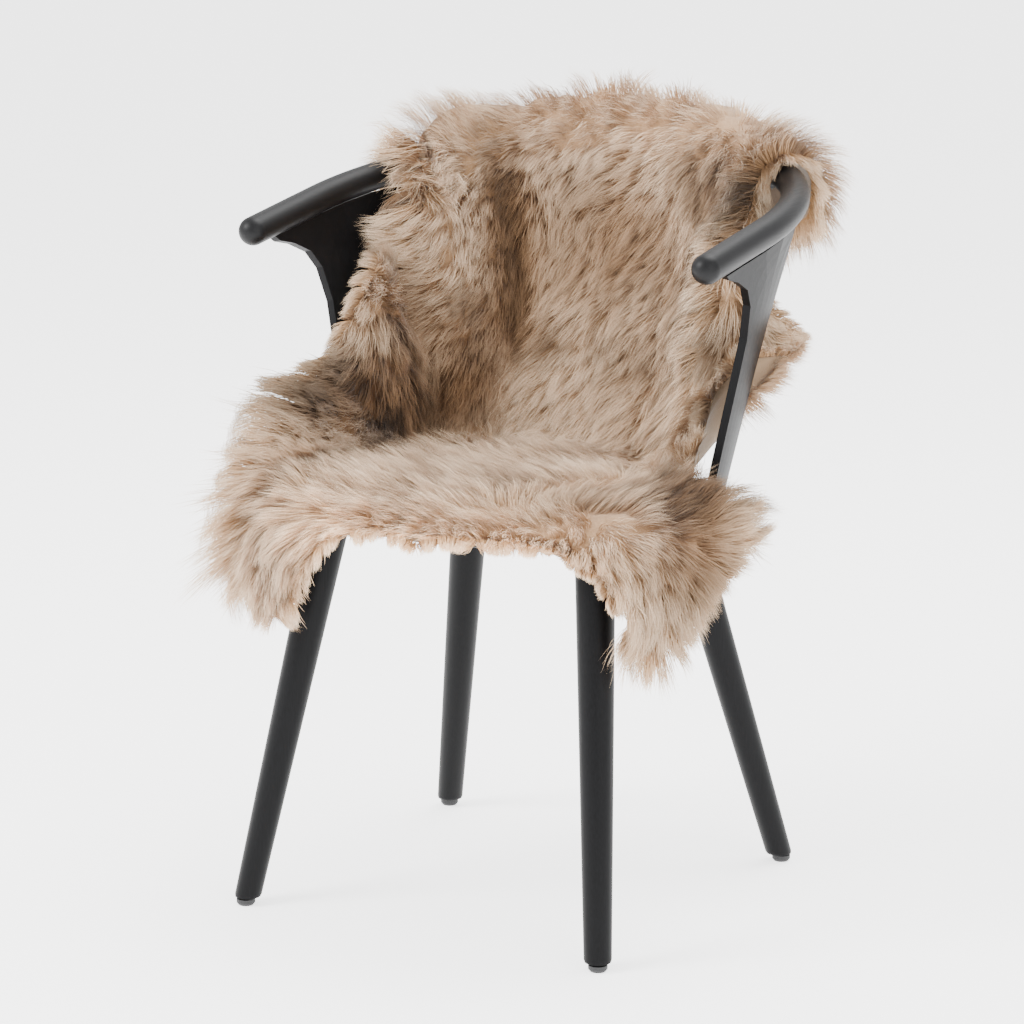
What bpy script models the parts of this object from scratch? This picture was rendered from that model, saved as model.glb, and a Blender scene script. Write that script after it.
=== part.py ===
"""A sheepskin rug draped in a plain wooden armchair.

The pelt is one solid, hide and wool together, a lumpy slab that lies on the seat, stands up
along the back, goes over the rail and hangs down behind it, with two leg flaps over the front
corners and a wing at each side. Locks of wool stand out all round its rim, each run of them
on a narrow strip of its own. The chair below it is plain: a round seat on four splayed legs,
and a bent rail on three thin panels.

Metres, +Z up. The sitter faces -Y. Angles in plan run from +X (0) by the back (90) to -X (180)
and the front (270), about the middle of the seat.
"""

import bisect
import math
import random

import bmesh
import bpy
from mathutils import Matrix, Vector

# The chair's footprint is a little in front of the whole object's, because the pelt hangs behind.
CHAIR_X, CHAIR_Y = -0.0063, -0.0588

SEAT_TOP = 0.436
SEAT_THICKNESS = 0.012
SEAT_HALF_WIDTH = 0.228
SEAT_HALF_DEPTH = 0.208
SEAT_EDGE_ROUND = 0.004

GLIDE_HEIGHT = 0.0070
GLIDE_RADIUS = 0.0102
GLIDE_CHAMFER = 0.78  # the underside's radius as a share of the glide's
GLIDE_LIP = 0.4
LEG_RADIUS_TOP = 0.0212
LEG_RADIUS_FOOT = 0.0146
LEG_END_ROUND = 0.0045
FOOT_X, FOOT_Y = 0.217, 0.215
LEG_TOPS = {"front": (0.160, -0.121), "back": (0.129, 0.121)}

RAIL_RADIUS = 0.0157
RAIL_HALF_WIDTH = 0.2736
RAIL_FRONT_Y = -0.0976
RAIL_BEND_Y = 0.029
RAIL_BEND_DEPTH = 0.2776
RAIL_BEND_SQUARENESS = 0.8
RAIL_FRONT_Z = 0.7158
RAIL_SLOPE = 0.1576
RAIL_TUBE_RESOLUTION = 6
RAIL_ARM_RINGS = (0.035, 0.08)  # rings on the straight arm, from its front end
RAIL_TIP_TURNS = (88, 65, 42, 20, 0)  # the half-round end, from its pole to its full girth
RAIL_BEND_RINGS = (0, 7, 14, 21, 28, 35, 42, 50, 58, 66, 74, 82)

PANEL_THICKNESS = 0.009
PANEL_INSET = 0.008
PANEL_FOOT = 0.006  # the upright stretch that a panel stands on
PANEL_HEAD_GAP = 0.0002  # between the rail's lowest line and the head's higher edge
PANEL_EXTRA_LEVELS = (0.18, 0.5)  # rows added where a panel's table has long steps

SEAM = 0.0004  # the gap that touching solids keep

# How the pelt bends over the rail: a wide bend that clears the rail's top.
OVER_RADIUS = 0.030
OVER_CLEARANCE = 0.0046
HANG_HEADING = math.radians(-88)

RIM_HEIGHT = 0.019
RIM_ROUND = 0.055
LOCK_SPACING = 0.0185
LOCK_STRIP_DEPTH = 0.007
LOCK_LENGTH = 0.032
STRIP_LOW, STRIP_HIGH = 0.10, 0.78  # the strip's share of the rim's height
LOCK_LENGTHS = (0.7, 1.15)  # the shortest and the longest lock, as shares of its length
LOCK_DROOPS = (0.15, 0.45)
LOCK_ASIDE = 0.35
LOCK_WAIST = 0.62  # the girth half-way along
SEED = 7

# The edges of a side panel, in degrees round the seat, at shares of its height.
PANEL_COLUMNS = ("height", "front", "rear")
SIDE_PANEL = [
    (0.00, 3.0, 19.0),
    (0.35, 4.5, 20.0),
    (0.66, 5.5, 22.0),
    (0.80, 3.5, 25.0),
    (0.88, 0.0, 29.0),
    (0.94, -6.0, 36.0),
    (0.975, -11.0, 42.0),
    (1.00, -12.5, 44.0),
]
BACK_PANEL = [
    (0.00, 76.0, 104.0),
    (0.50, 77.0, 103.0),
    (0.75, 73.0, 107.0),
    (0.90, 64.0, 116.0),
    (1.00, 56.0, 124.0),
]

# Each row is one rib of the pelt, from the seat's middle outwards. reach: the hide's length
# along it, start: where it leaves the seat's level, measured outwards from the seat's edge,
# turn: how far it bends there (up is +), bend: that bend's radius, hook: 1 where it goes over
# the rail, wool: the pile's depth, swing: how far its end strays round the seat, bulge: how far
# the wall stands off its straight line, towards the sitter.
RIB_COLUMNS = ("angle", "reach", "start", "turn", "bend", "hook", "wool", "swing", "bulge")
RIBS = [
    # right side, in front of the panel, and right wing, behind it
    (1.0, 0.207, -0.060, 24, 0.050, 0.0, 0.038, 0, 0.000),
    (4.0, 0.201, -0.082, 46, 0.055, 0.0, 0.036, 0, 0.000),
    (10.0, 0.236, -0.089, 64, 0.055, 0.0, 0.036, 0, 0.000),
    (17.0, 0.278, -0.091, 74, 0.055, 0.0, 0.036, 0, 0.000),
    (22.5, 0.322, -0.090, 68, 0.058, 0.0, 0.036, 0, 0.000),
    (27.5, 0.372, -0.088, 47, 0.060, 0.0, 0.036, 0, 0.000),
    (33.0, 0.374, -0.086, 48, 0.065, 0.0, 0.036, 0, 0.000),
    (38.5, 0.385, -0.084, 62, 0.065, 0.1, 0.038, 0, 0.006),
    (42.5, 0.430, -0.083, 66, 0.065, 1.0, 0.040, 0, 0.012),
    (46.5, 0.530, -0.082, 66, 0.065, 1.0, 0.036, 0, 0.014),
    # the back, from the right shoulder to the left one
    (51.0, 0.635, -0.080, 70, 0.065, 1.0, 0.034, 0, 0.012),
    (62.0, 0.670, -0.077, 72, 0.068, 1.0, 0.038, 0, 0.006),
    (78.0, 0.700, -0.074, 73, 0.070, 1.0, 0.042, 0, 0.004),
    (92.0, 0.715, -0.073, 73, 0.070, 1.0, 0.042, 0, 0.004),
    (106.0, 0.700, -0.074, 73, 0.070, 1.0, 0.040, 0, 0.002),
    (118.0, 0.680, -0.074, 72, 0.068, 1.0, 0.038, 0, -0.004),
    (130.0, 0.670, -0.076, 72, 0.065, 1.0, 0.042, 0, 0.010),
    (138.0, 0.640, -0.079, 70, 0.065, 1.0, 0.044, 0, 0.012),
    (144.0, 0.525, -0.076, 70, 0.065, 1.0, 0.042, 0, 0.004),
    # left wing
    (149.0, 0.455, -0.073, 72, 0.060, 0.8, 0.038, 0, 0.000),
    (156.0, 0.418, -0.074, 75, 0.058, 0.0, 0.038, 0, 0.000),
    (163.0, 0.410, -0.080, 80, 0.056, 0.0, 0.040, 0, 0.010),
    (171.0, 0.395, -0.084, 86, 0.056, 0.0, 0.042, 0, 0.012),
    (181.0, 0.350, -0.080, 84, 0.056, 0.0, 0.042, 0, 0.006),
    (192.0, 0.300, -0.062, 68, 0.055, 0.0, 0.040, 0, 0.000),
    (202.0, 0.285, -0.030, 28, 0.050, 0.0, 0.042, 0, 0.000),
    # left flap
    (207.5, 0.292, 0.014, 0, 0.040, 0.0, 0.042, 0, 0.000),
    (214.0, 0.310, 0.015, -48, 0.034, 0.0, 0.042, 0, 0.000),
    (222.0, 0.345, 0.010, -76, 0.032, 0.0, 0.040, 0, 0.000),
    (230.0, 0.348, 0.003, -78, 0.032, 0.0, 0.038, 3, 0.000),
    (238.0, 0.305, 0.002, -72, 0.030, 0.0, 0.040, 0, 0.000),
    (246.0, 0.240, 0.002, -44, 0.026, 0.0, 0.046, 0, 0.000),
    # front
    (255.0, 0.229, 0.002, -32, 0.026, 0.0, 0.050, 0, 0.000),
    (270.0, 0.226, 0.002, -30, 0.026, 0.0, 0.052, 0, 0.000),
    (289.0, 0.228, 0.002, -30, 0.026, 0.0, 0.052, 0, 0.000),
    (304.0, 0.236, 0.002, -34, 0.026, 0.0, 0.050, 0, 0.000),
    # right flap
    (314.0, 0.252, 0.004, -50, 0.026, 0.0, 0.046, 0, 0.000),
    (322.0, 0.318, 0.006, -70, 0.028, 0.0, 0.040, 0, 0.000),
    (329.0, 0.358, 0.006, -76, 0.030, 0.0, 0.038, -2, 0.000),
    (337.0, 0.342, 0.005, -76, 0.032, 0.0, 0.040, 0, 0.000),
    (346.0, 0.308, 0.004, -70, 0.034, 0.0, 0.042, 0, 0.000),
    (352.0, 0.292, 0.008, -54, 0.034, 0.0, 0.042, 0, 0.000),
    (356.0, 0.270, 0.012, -30, 0.034, 0.0, 0.042, 0, 0.000),
    (359.0, 0.260, 0.014, 0, 0.040, 0.0, 0.040, 0, 0.000),
]

# Heights and hollows of the wool, placed by angle and by distance along the hide.
LUMP_COLUMNS = ("angle", "along", "across", "length", "height")
LUMPS = [
    (118.0, 0.40, 0.045, 0.130, -0.013),
    (137.0, 0.50, 0.060, 0.080, 0.010),
    (88.0, 0.27, 0.150, 0.022, -0.010),
    (84.0, 0.35, 0.120, 0.060, 0.007),
    (62.0, 0.46, 0.022, 0.120, -0.008),
    (52.0, 0.50, 0.050, 0.090, 0.010),
    (98.0, 0.55, 0.090, 0.050, 0.008),
    (262.0, 0.13, 0.160, 0.045, 0.008),
    (300.0, 0.14, 0.070, 0.060, -0.008),
    (225.0, 0.15, 0.080, 0.060, 0.006),
    (345.0, 0.17, 0.060, 0.050, 0.008),
    (155.0, 0.27, 0.050, 0.060, -0.010),
    (36.0, 0.27, 0.050, 0.050, -0.008),
]

# The slab's rings: shares of the flat stretch, of the bend after it, and counts on the rest.
FLAT_RINGS = (0.35, 0.65, 0.88, 1.0)
BEND_RINGS = (0.35, 0.7, 1.0)
WALL_RINGS, OVER_RINGS, HANG_RINGS = 4, 5, 3
SHORTEST_BEND = 0.010
CLOSEST_RINGS = 0.0015
RIB_STEP = 0.050
RAIL_CROSSINGS = ((38.0, 52.0), (138.0, 150.0))
RAIL_CROSSING_STEP = 0.020

# How the hide's slope is measured: over a short step along the rib and one across it.
SLOPE_STEP = 0.006
SLOPE_WIDTH = 0.012
SLOPE_NEAREST, SLOPE_NARROWEST = 0.02, 0.05  # keep both steps sound near the middle
SHORTEST_FALL = 0.01
FARTHEST_SWING = 1.2
LUMP_REACH = 0.35
STAGED_REACH = 0.03  # how far past the rail's top a rib goes before its rings follow the bend

# The runs of locks: the angles where each begins and ends, and its gap to the slab, which is
# wider where the rim twists.
LOCK_RUNS = {
    "locks_right_side": (6.0, 21.5, 0.0008),
    "locks_right_wing": (25.0, 39.5, 0.0012),
    "locks_right_shoulder": (46.5, 56.0, 0.0016),
    "locks_neck_right": (57.5, 88.0, 0.0008),
    "locks_neck_left": (90.5, 128.0, 0.0008),
    "locks_left_shoulder": (130.0, 146.5, 0.0008),
    "locks_left_wing": (148.0, 186.0, 0.0021),
    "locks_left_side": (188.0, 218.0, 0.0016),
    "locks_left_flap": (220.0, 246.0, 0.0008),
    "locks_front": (248.0, 314.0, 0.0008),
    "locks_right_flap": (316.0, 355.0, 0.0016),
}


# Materials and scene helpers

def clear_scene():
    for obj in list(bpy.data.objects):
        bpy.data.objects.remove(obj)


def finish(name, colour, roughness):
    """A Principled material of one linear colour."""
    material = bpy.data.materials.new(name)
    material.use_nodes = True
    shader = material.node_tree.nodes["Principled BSDF"]
    shader.inputs["Base Color"].default_value = (*colour, 1.0)
    shader.inputs["Roughness"].default_value = roughness
    shader.inputs["Metallic"].default_value = 0.0
    return material


def place(obj, material, collection, centre):
    """Gives an object its material, and hangs it on the chair's centre."""
    obj.data.materials.clear()
    obj.data.materials.append(material)
    for old in list(obj.users_collection):
        old.objects.unlink(obj)
    collection.objects.link(obj)
    obj.parent = centre
    return obj


def mesh_object(name, mesh_builder):
    """A mesh object from a function that fills a bmesh."""
    bm = bmesh.new()
    mesh_builder(bm)
    mesh = bpy.data.meshes.new(name)
    bm.to_mesh(mesh)
    bm.free()
    obj = bpy.data.objects.new(name, mesh)
    bpy.context.scene.collection.objects.link(obj)
    return obj


def applied(obj):
    """The same object with its modifiers or its curve made a plain, welded mesh."""
    graph = bpy.context.evaluated_depsgraph_get()
    mesh = bpy.data.meshes.new_from_object(obj.evaluated_get(graph))
    name = obj.name
    matrix = obj.matrix_world.copy()
    bpy.data.objects.remove(obj)
    bm = bmesh.new()
    bm.from_mesh(mesh)
    bmesh.ops.remove_doubles(bm, verts=bm.verts, dist=1e-6)
    bmesh.ops.recalc_face_normals(bm, faces=bm.faces)
    bm.to_mesh(mesh)
    bm.free()
    made = bpy.data.objects.new(name, mesh)
    mesh.name = name
    made.matrix_world = matrix
    bpy.context.scene.collection.objects.link(made)
    return made


def turned(name, profile, steps):
    """A round solid: the profile's (radius, height) points, top to bottom, spun about Z."""
    def build(bm):
        points = [bm.verts.new((radius, 0.0, height)) for radius, height in profile]
        for upper, lower in zip(points, points[1:]):
            bm.edges.new((upper, lower))

    obj = mesh_object(name, build)
    screw = obj.modifiers.new("turn", "SCREW")
    screw.steps = screw.render_steps = steps
    screw.use_merge_vertices = True
    screw.merge_threshold = 0.0001
    bpy.context.view_layer.update()
    return applied(obj)


def smooth(obj, degrees=40):
    obj.data.shade_smooth()
    obj.data.set_sharp_from_angle(angle=math.radians(degrees))


# Smooth reading of a table

def slopes(xs, ys):
    """Slopes of a smooth curve through the points that doesn't overshoot them."""
    steps = [(y1 - y0) / (x1 - x0) for x0, x1, y0, y1 in zip(xs, xs[1:], ys, ys[1:])]
    found = [steps[0]]
    for before, after in zip(steps, steps[1:]):
        found.append(0.0 if before * after <= 0 else 2 * before * after / (before + after))
    return found + [steps[-1]]


class Table:
    """Rows of named columns, read smoothly between the values of the first column."""

    def __init__(self, columns, rows, period=None):
        if period:
            last = [(row[0] - period, *row[1:]) for row in rows[-2:]]
            first = [(row[0] + period, *row[1:]) for row in rows[:2]]
            rows = last + rows + first
        self.period = period
        self.xs = [row[0] for row in rows]
        self.columns = {}
        for index, column in enumerate(columns[1:], start=1):
            values = [row[index] for row in rows]
            self.columns[column] = (values, slopes(self.xs, values))

    def read(self, x):
        if self.period:
            x %= self.period
        x = min(max(x, self.xs[0]), self.xs[-1])
        left = min(max(bisect.bisect_right(self.xs, x) - 1, 0), len(self.xs) - 2)
        width = self.xs[left + 1] - self.xs[left]
        t = (x - self.xs[left]) / width
        found = {}
        for column, (ys, ms) in self.columns.items():
            found[column] = (
                (2 * t**3 - 3 * t**2 + 1) * ys[left]
                + (t**3 - 2 * t**2 + t) * width * ms[left]
                + (3 * t**2 - 2 * t**3) * ys[left + 1]
                + (t**3 - t**2) * width * ms[left + 1]
            )
        return found


# The rail's line, which the panels and the pelt both follow

def rail_point(bend):
    """The right half of the rail's line, at a bend angle from 0, where the arm ends, to 90."""
    a = math.radians(bend)
    x = RAIL_HALF_WIDTH * max(math.cos(a), 0.0) ** RAIL_BEND_SQUARENESS
    y = RAIL_BEND_Y + RAIL_BEND_DEPTH * math.sin(a)
    return Vector((x, y, RAIL_FRONT_Z + RAIL_SLOPE * (y - RAIL_FRONT_Y)))


RAIL_TURNS = [
    (math.degrees(math.atan2(p.y, p.x)), math.hypot(p.x, p.y), p.z)
    for p in (rail_point(bend) for bend in range(0, 91, 3))
]


def rail_at(angle):
    """(distance from the seat's middle, height) of the rail's line at an angle in plan."""
    angle = angle if angle <= 90 else 180 - angle
    if angle <= RAIL_TURNS[0][0]:
        y = RAIL_HALF_WIDTH * math.tan(math.radians(angle))
        return math.hypot(RAIL_HALF_WIDTH, y), RAIL_FRONT_Z + RAIL_SLOPE * (y - RAIL_FRONT_Y)
    angles = [turn[0] for turn in RAIL_TURNS]
    left = min(bisect.bisect_right(angles, angle) - 1, len(angles) - 2)
    share = (angle - angles[left]) / (angles[left + 1] - angles[left])
    before, after = RAIL_TURNS[left], RAIL_TURNS[left + 1]
    return (
        before[1] + share * (after[1] - before[1]),
        before[2] + share * (after[2] - before[2]),
    )


def polar(angle, distance, height):
    a = math.radians(angle)
    return Vector((distance * math.cos(a), distance * math.sin(a), height))


# The chair

def make_seat():
    bpy.ops.mesh.primitive_cylinder_add(vertices=56, radius=1.0, depth=SEAT_THICKNESS)
    seat = bpy.context.object
    seat.name = "seat"
    seat.data.transform(Matrix.Diagonal((SEAT_HALF_WIDTH, SEAT_HALF_DEPTH, 1.0, 1.0)))
    seat.location.z = SEAT_TOP - SEAT_THICKNESS / 2
    edge = seat.modifiers.new("edge", "BEVEL")
    edge.width = SEAT_EDGE_ROUND
    edge.segments = 2
    edge.limit_method = "ANGLE"
    smooth(seat)
    return seat


def leg_profile():
    """Radius and height of a leg, from under the seat to its rounded foot."""
    top = SEAT_TOP - SEAT_THICKNESS - SEAM
    foot = GLIDE_HEIGHT + SEAM
    corner = [
        (LEG_RADIUS_FOOT - LEG_END_ROUND * (1 - math.cos(a)), foot + LEG_END_ROUND * (1 - math.sin(a)))
        for a in (math.radians(d) for d in (0, 35, 90))
    ]
    return [(0.0, top), (LEG_RADIUS_TOP, top), *corner, (0.0, foot)]


def make_leg(name, foot, head):
    """A tapered leg, leaned over by a shear so that both its ends stay level."""
    leg = turned(name, leg_profile(), 20)
    height = SEAT_TOP - SEAT_THICKNESS
    lean = Matrix.Identity(4)
    lean[0][2] = (head[0] - foot[0]) / height
    lean[1][2] = (head[1] - foot[1]) / height
    leg.data.transform(lean)
    leg.location = (foot[0], foot[1], 0.0)
    smooth(leg)
    return leg


def make_glide(name, foot):
    """The small pad that a leg stands on."""
    lip = GLIDE_HEIGHT * GLIDE_LIP
    profile = [
        (0.0, GLIDE_HEIGHT),
        (GLIDE_RADIUS, GLIDE_HEIGHT),
        (GLIDE_RADIUS, lip),
        (GLIDE_RADIUS * GLIDE_CHAMFER, 0.0),
        (0.0, 0.0),
    ]
    glide = turned(name, profile, 20)
    glide.location = (foot[0], foot[1], 0.0)
    return glide


def make_rail():
    """The bent rail: straight arms with round ends, and one long bend round the back."""
    arm = [
        Vector((RAIL_HALF_WIDTH, y, RAIL_FRONT_Z + RAIL_SLOPE * (y - RAIL_FRONT_Y)))
        for y in (RAIL_FRONT_Y + ring for ring in RAIL_ARM_RINGS)
    ]
    right = arm + [rail_point(bend) for bend in RAIL_BEND_RINGS]
    left = [Vector((-p.x, p.y, p.z)) for p in right]
    middle = right + [rail_point(90)] + left[::-1]
    along = (right[1] - right[0]).normalized()
    tips = []
    for degrees in RAIL_TIP_TURNS:
        a = math.radians(degrees)
        point = Vector((RAIL_HALF_WIDTH, RAIL_FRONT_Y, RAIL_FRONT_Z)) - along * RAIL_RADIUS * math.sin(a)
        tips.append((point, math.cos(a)))
    line = tips + [(p, 1.0) for p in middle]
    line += [(Vector((-p.x, p.y, p.z)), size) for p, size in tips[::-1]]
    curve = bpy.data.curves.new("rail", "CURVE")
    curve.dimensions = "3D"
    curve.bevel_depth = RAIL_RADIUS
    curve.bevel_resolution = RAIL_TUBE_RESOLUTION
    curve.use_fill_caps = True
    spline = curve.splines.new("POLY")
    spline.points.add(len(line) - 1)
    for point, (centre, girth) in zip(spline.points, line):
        point.co = (*centre, 1.0)
        point.radius = girth
    rail = bpy.data.objects.new("rail", curve)
    bpy.context.scene.collection.objects.link(rail)
    bpy.context.view_layer.update()
    rail = applied(rail)
    smooth(rail)
    return rail


def seat_rim(angle):
    """Distance from the seat's middle to its edge."""
    a = math.radians(angle)
    return 1 / math.hypot(math.cos(a) / SEAT_HALF_WIDTH, math.sin(a) / SEAT_HALF_DEPTH)


def make_panel(name, rows, mirror=False, columns=6):
    """A thin bent panel from the seat's edge to the rail, as wide as its table says."""
    table = Table(PANEL_COLUMNS, rows)
    levels = sorted({row[0] for row in rows} | set(PANEL_EXTRA_LEVELS))

    def build(bm):
        grid = []
        for level in levels:
            edges = table.read(level)
            line = []
            for column in range(columns + 1):
                angle = edges["front"] + (edges["rear"] - edges["front"]) * column / columns
                distance, rail_height = rail_at(angle)
                inner = seat_rim(angle) - PANEL_INSET
                lean = math.atan2(distance - inner, rail_height - SEAT_TOP)
                edge_rise = math.sin(lean) * PANEL_THICKNESS / 2
                foot = polar(angle, inner, SEAT_TOP + SEAM + PANEL_FOOT)
                head = polar(angle, distance, rail_height - RAIL_RADIUS - edge_rise - PANEL_HEAD_GAP)
                point = foot.lerp(head, level)
                line.append(bm.verts.new((-point.x if mirror else point.x, point.y, point.z)))
            if not grid:
                grid.append([bm.verts.new(v.co - Vector((0.0, 0.0, PANEL_FOOT))) for v in line])
            grid.append(line)
        for lower, upper in zip(grid, grid[1:]):
            for k in range(columns):
                bm.faces.new((lower[k], lower[k + 1], upper[k + 1], upper[k]))
        bmesh.ops.recalc_face_normals(bm, faces=bm.faces)

    panel = mesh_object(name, build)
    wall = panel.modifiers.new("wall", "SOLIDIFY")
    wall.thickness = PANEL_THICKNESS
    wall.offset = 0.0
    smooth(panel)
    return panel


# The pelt: where a point of the hide lies

RIB_TABLE = Table(RIB_COLUMNS, RIBS, period=360.0)


def read_rib(angle):
    """The rib's row at an angle, with the length that lies flat on the seat."""
    rib = RIB_TABLE.read(angle)
    rib["flat"] = seat_rim(angle) + rib["start"]
    return rib


def rib_path(angle):
    """The rib's row, and its (length, turn) stretches from the seat's middle outwards."""
    rib = read_rib(angle)
    turn = math.radians(rib["turn"])
    bend, flat = rib["bend"], rib["flat"]
    if rib["hook"] <= 0:
        return rib, [(flat, 0.0), (abs(bend * turn), turn)]
    distance, height = rail_at(angle)
    over_height = height + RAIL_RADIUS + OVER_CLEARANCE - OVER_RADIUS
    across = distance - flat
    up = over_height - (SEAT_TOP + SEAM + bend)
    span = math.hypot(across, up)
    lean = math.asin(min((OVER_RADIUS + bend) / span, 1.0))
    rise = math.atan2(up, across) + lean
    wall = span * math.cos(lean)
    turn += (rise - turn) * min(rib["hook"], 1.0)
    over = turn - HANG_HEADING
    return rib, [(flat, 0.0), (bend * turn, turn), (wall, 0.0), (OVER_RADIUS * over, -over)]


def walk(stretches, along):
    """(distance from the seat's middle, height) after a length of the rib."""
    distance, height, heading = 0.0, SEAT_TOP + SEAM, 0.0
    for length, turn in stretches:
        step = min(along, length)
        if turn:
            radius = length / turn
            new = heading + turn * step / length
            distance += radius * (math.sin(new) - math.sin(heading))
            height += radius * (math.cos(heading) - math.cos(new))
            heading = new
        else:
            distance += step * math.cos(heading)
            height += step * math.sin(heading)
        along -= step
        if along <= 0:
            return distance, height
    return distance + along * math.cos(heading), height + along * math.sin(heading)


def hide_point(angle, along):
    """A point of the hide's underside, by its rib and its distance along it."""
    rib, stretches = rib_path(angle)
    distance, height = walk(stretches, along)
    fall = max(rib["reach"] - rib["flat"], SHORTEST_FALL)
    past = min(max((along - rib["flat"]) / fall, 0.0), FARTHEST_SWING)
    point = polar(angle + rib["swing"] * past * past, distance, height)
    if rib["bulge"]:
        start = rib["flat"] + stretches[1][0]
        length = stretches[2][0] if len(stretches) > 2 else rib["reach"] - start
        share = min(max((along - start) / max(length, SHORTEST_FALL), 0.0), 1.0)
        inward = rib["bulge"] * math.sin(math.pi * share) ** 2
        point -= polar(angle, inward, 0.0)
    return point


def hide_normal(angle, along):
    """The wool's side of the hide there."""
    along = max(along, SLOPE_NEAREST)
    width = math.degrees(SLOPE_WIDTH / max(along, SLOPE_NARROWEST))
    across = hide_point(angle + width, along) - hide_point(angle - width, along)
    outward = hide_point(angle, along + SLOPE_STEP) - hide_point(angle, along - SLOPE_STEP)
    return outward.cross(across).normalized()


def wool_depth(angle, along):
    """How deep the pile is: its row's depth with lumps, rounded down towards the rim."""
    rib = RIB_TABLE.read(angle)
    depth = rib["wool"]
    for row in LUMPS:
        lump = dict(zip(LUMP_COLUMNS, row))
        turn = (angle - lump["angle"] + 180) % 360 - 180
        aside = math.radians(turn) * min(max(along, lump["along"]), LUMP_REACH)
        away = (aside / lump["across"]) ** 2 + ((along - lump["along"]) / lump["length"]) ** 2
        depth += lump["height"] * math.exp(-away)
    inside = min(max((rib["reach"] - along) / RIM_ROUND, 0.0), 1.0)
    return RIM_HEIGHT + (depth - RIM_HEIGHT) * math.sqrt(1 - (1 - inside) ** 2)


def ring_lengths(angle):
    """Distances along a rib at which the slab has its rings."""
    rib, stretches = rib_path(angle)
    flat, reach = rib["flat"], rib["reach"]
    bent = flat + max(stretches[1][0], SHORTEST_BEND)
    count = WALL_RINGS + OVER_RINGS + HANG_RINGS
    rest = [bent + (reach - bent) * k / count for k in range(1, count + 1)]
    if len(stretches) > 2:
        crest = bent + stretches[2][0]
        hanging = crest + stretches[3][0]
        last = max(reach, hanging + HANG_RINGS * CLOSEST_RINGS)
        staged = [bent + (crest - bent) * k / WALL_RINGS for k in range(1, WALL_RINGS + 1)]
        staged += [crest + (hanging - crest) * k / OVER_RINGS for k in range(1, OVER_RINGS + 1)]
        staged += [hanging + (last - hanging) * k / HANG_RINGS for k in range(1, HANG_RINGS + 1)]
        share = min(max((reach - crest) / STAGED_REACH, 0.0), 1.0)
        staged = [min(s, reach - CLOSEST_RINGS * (count - k)) for k, s in enumerate(staged, start=1)]
        rest = [even + (stage - even) * share for even, stage in zip(rest, staged)]
    return [flat * s for s in FLAT_RINGS] + [flat + (bent - flat) * s for s in BEND_RINGS] + rest


def outline_angles():
    """The angles of the slab's ribs, evenly spaced along the cut edge, and closer at the rail."""
    fine = [n * 0.1 for n in range(3600)]
    flat = [polar(a, RIB_TABLE.read(a)["reach"], 0.0) for a in fine]
    angles, travelled = [0.0], 0.0
    for before, after, angle in zip(flat, flat[1:], fine[1:]):
        near_rail = any(low <= angle <= high for low, high in RAIL_CROSSINGS)
        travelled += (after - before).length / (RAIL_CROSSING_STEP if near_rail else RIB_STEP)
        if travelled >= 1.0:
            angles.append(angle)
            travelled -= 1.0
    return angles


def rim_corners(angles):
    """The (lower, upper) corners of the slab's rim, one pair for each rib."""
    corners = []
    for angle in angles:
        reach = RIB_TABLE.read(angle)["reach"]
        low = hide_point(angle, reach)
        corners.append((low, low + hide_normal(angle, reach) * wool_depth(angle, reach)))
    return corners


def rim_sections(one, two):
    """Points that divide a stretch of the rim into locks, without its last pair."""
    count = max(round((two[0] - one[0]).length / LOCK_SPACING), 1)
    return [(one[0].lerp(two[0], k / count), one[1].lerp(two[1], k / count)) for k in range(count)]


def make_sheepskin(angles):
    """Hide and wool in one solid: a slab from the hide's underside to the top of the pile."""
    def build(bm):
        centre = Vector((0.0, 0.0, SEAT_TOP + SEAM))
        under_pole = bm.verts.new(centre)
        top_pole = bm.verts.new(centre + Vector((0.0, 0.0, wool_depth(0.0, 0.0))))
        under, top = [], []
        for angle in angles:
            low, high = [], []
            for along in ring_lengths(angle):
                point = hide_point(angle, along)
                low.append(bm.verts.new(point))
                high.append(bm.verts.new(point + hide_normal(angle, along) * wool_depth(angle, along)))
            under.append(low)
            top.append(high)
        corners = rim_corners(angles)
        for k in range(len(angles)):
            after = (k + 1) % len(angles)
            low, next_low = under[k], under[after]
            high, next_high = top[k], top[after]
            bm.faces.new((under_pole, next_low[0], low[0]))
            bm.faces.new((top_pole, high[0], next_high[0]))
            for j in range(len(low) - 2):
                bm.faces.new((low[j], next_low[j], next_low[j + 1], low[j + 1]))
                bm.faces.new((high[j], high[j + 1], next_high[j + 1], next_high[j]))
            divided = rim_sections(corners[k], corners[after])[1:]
            lower = [low[-1], *(bm.verts.new(pair[0]) for pair in divided), next_low[-1]]
            upper = [high[-1], *(bm.verts.new(pair[1]) for pair in divided), next_high[-1]]
            bm.faces.new((low[-2], next_low[-2], *reversed(lower)))
            bm.faces.new((next_high[-2], high[-2], *upper))
            for n in range(len(lower) - 1):
                bm.faces.new((lower[n], lower[n + 1], upper[n + 1], upper[n]))
        bmesh.ops.recalc_face_normals(bm, faces=bm.faces)

    pelt = mesh_object("sheepskin", build)
    smooth(pelt, 60)
    return pelt


# The locks round the rim

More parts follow.
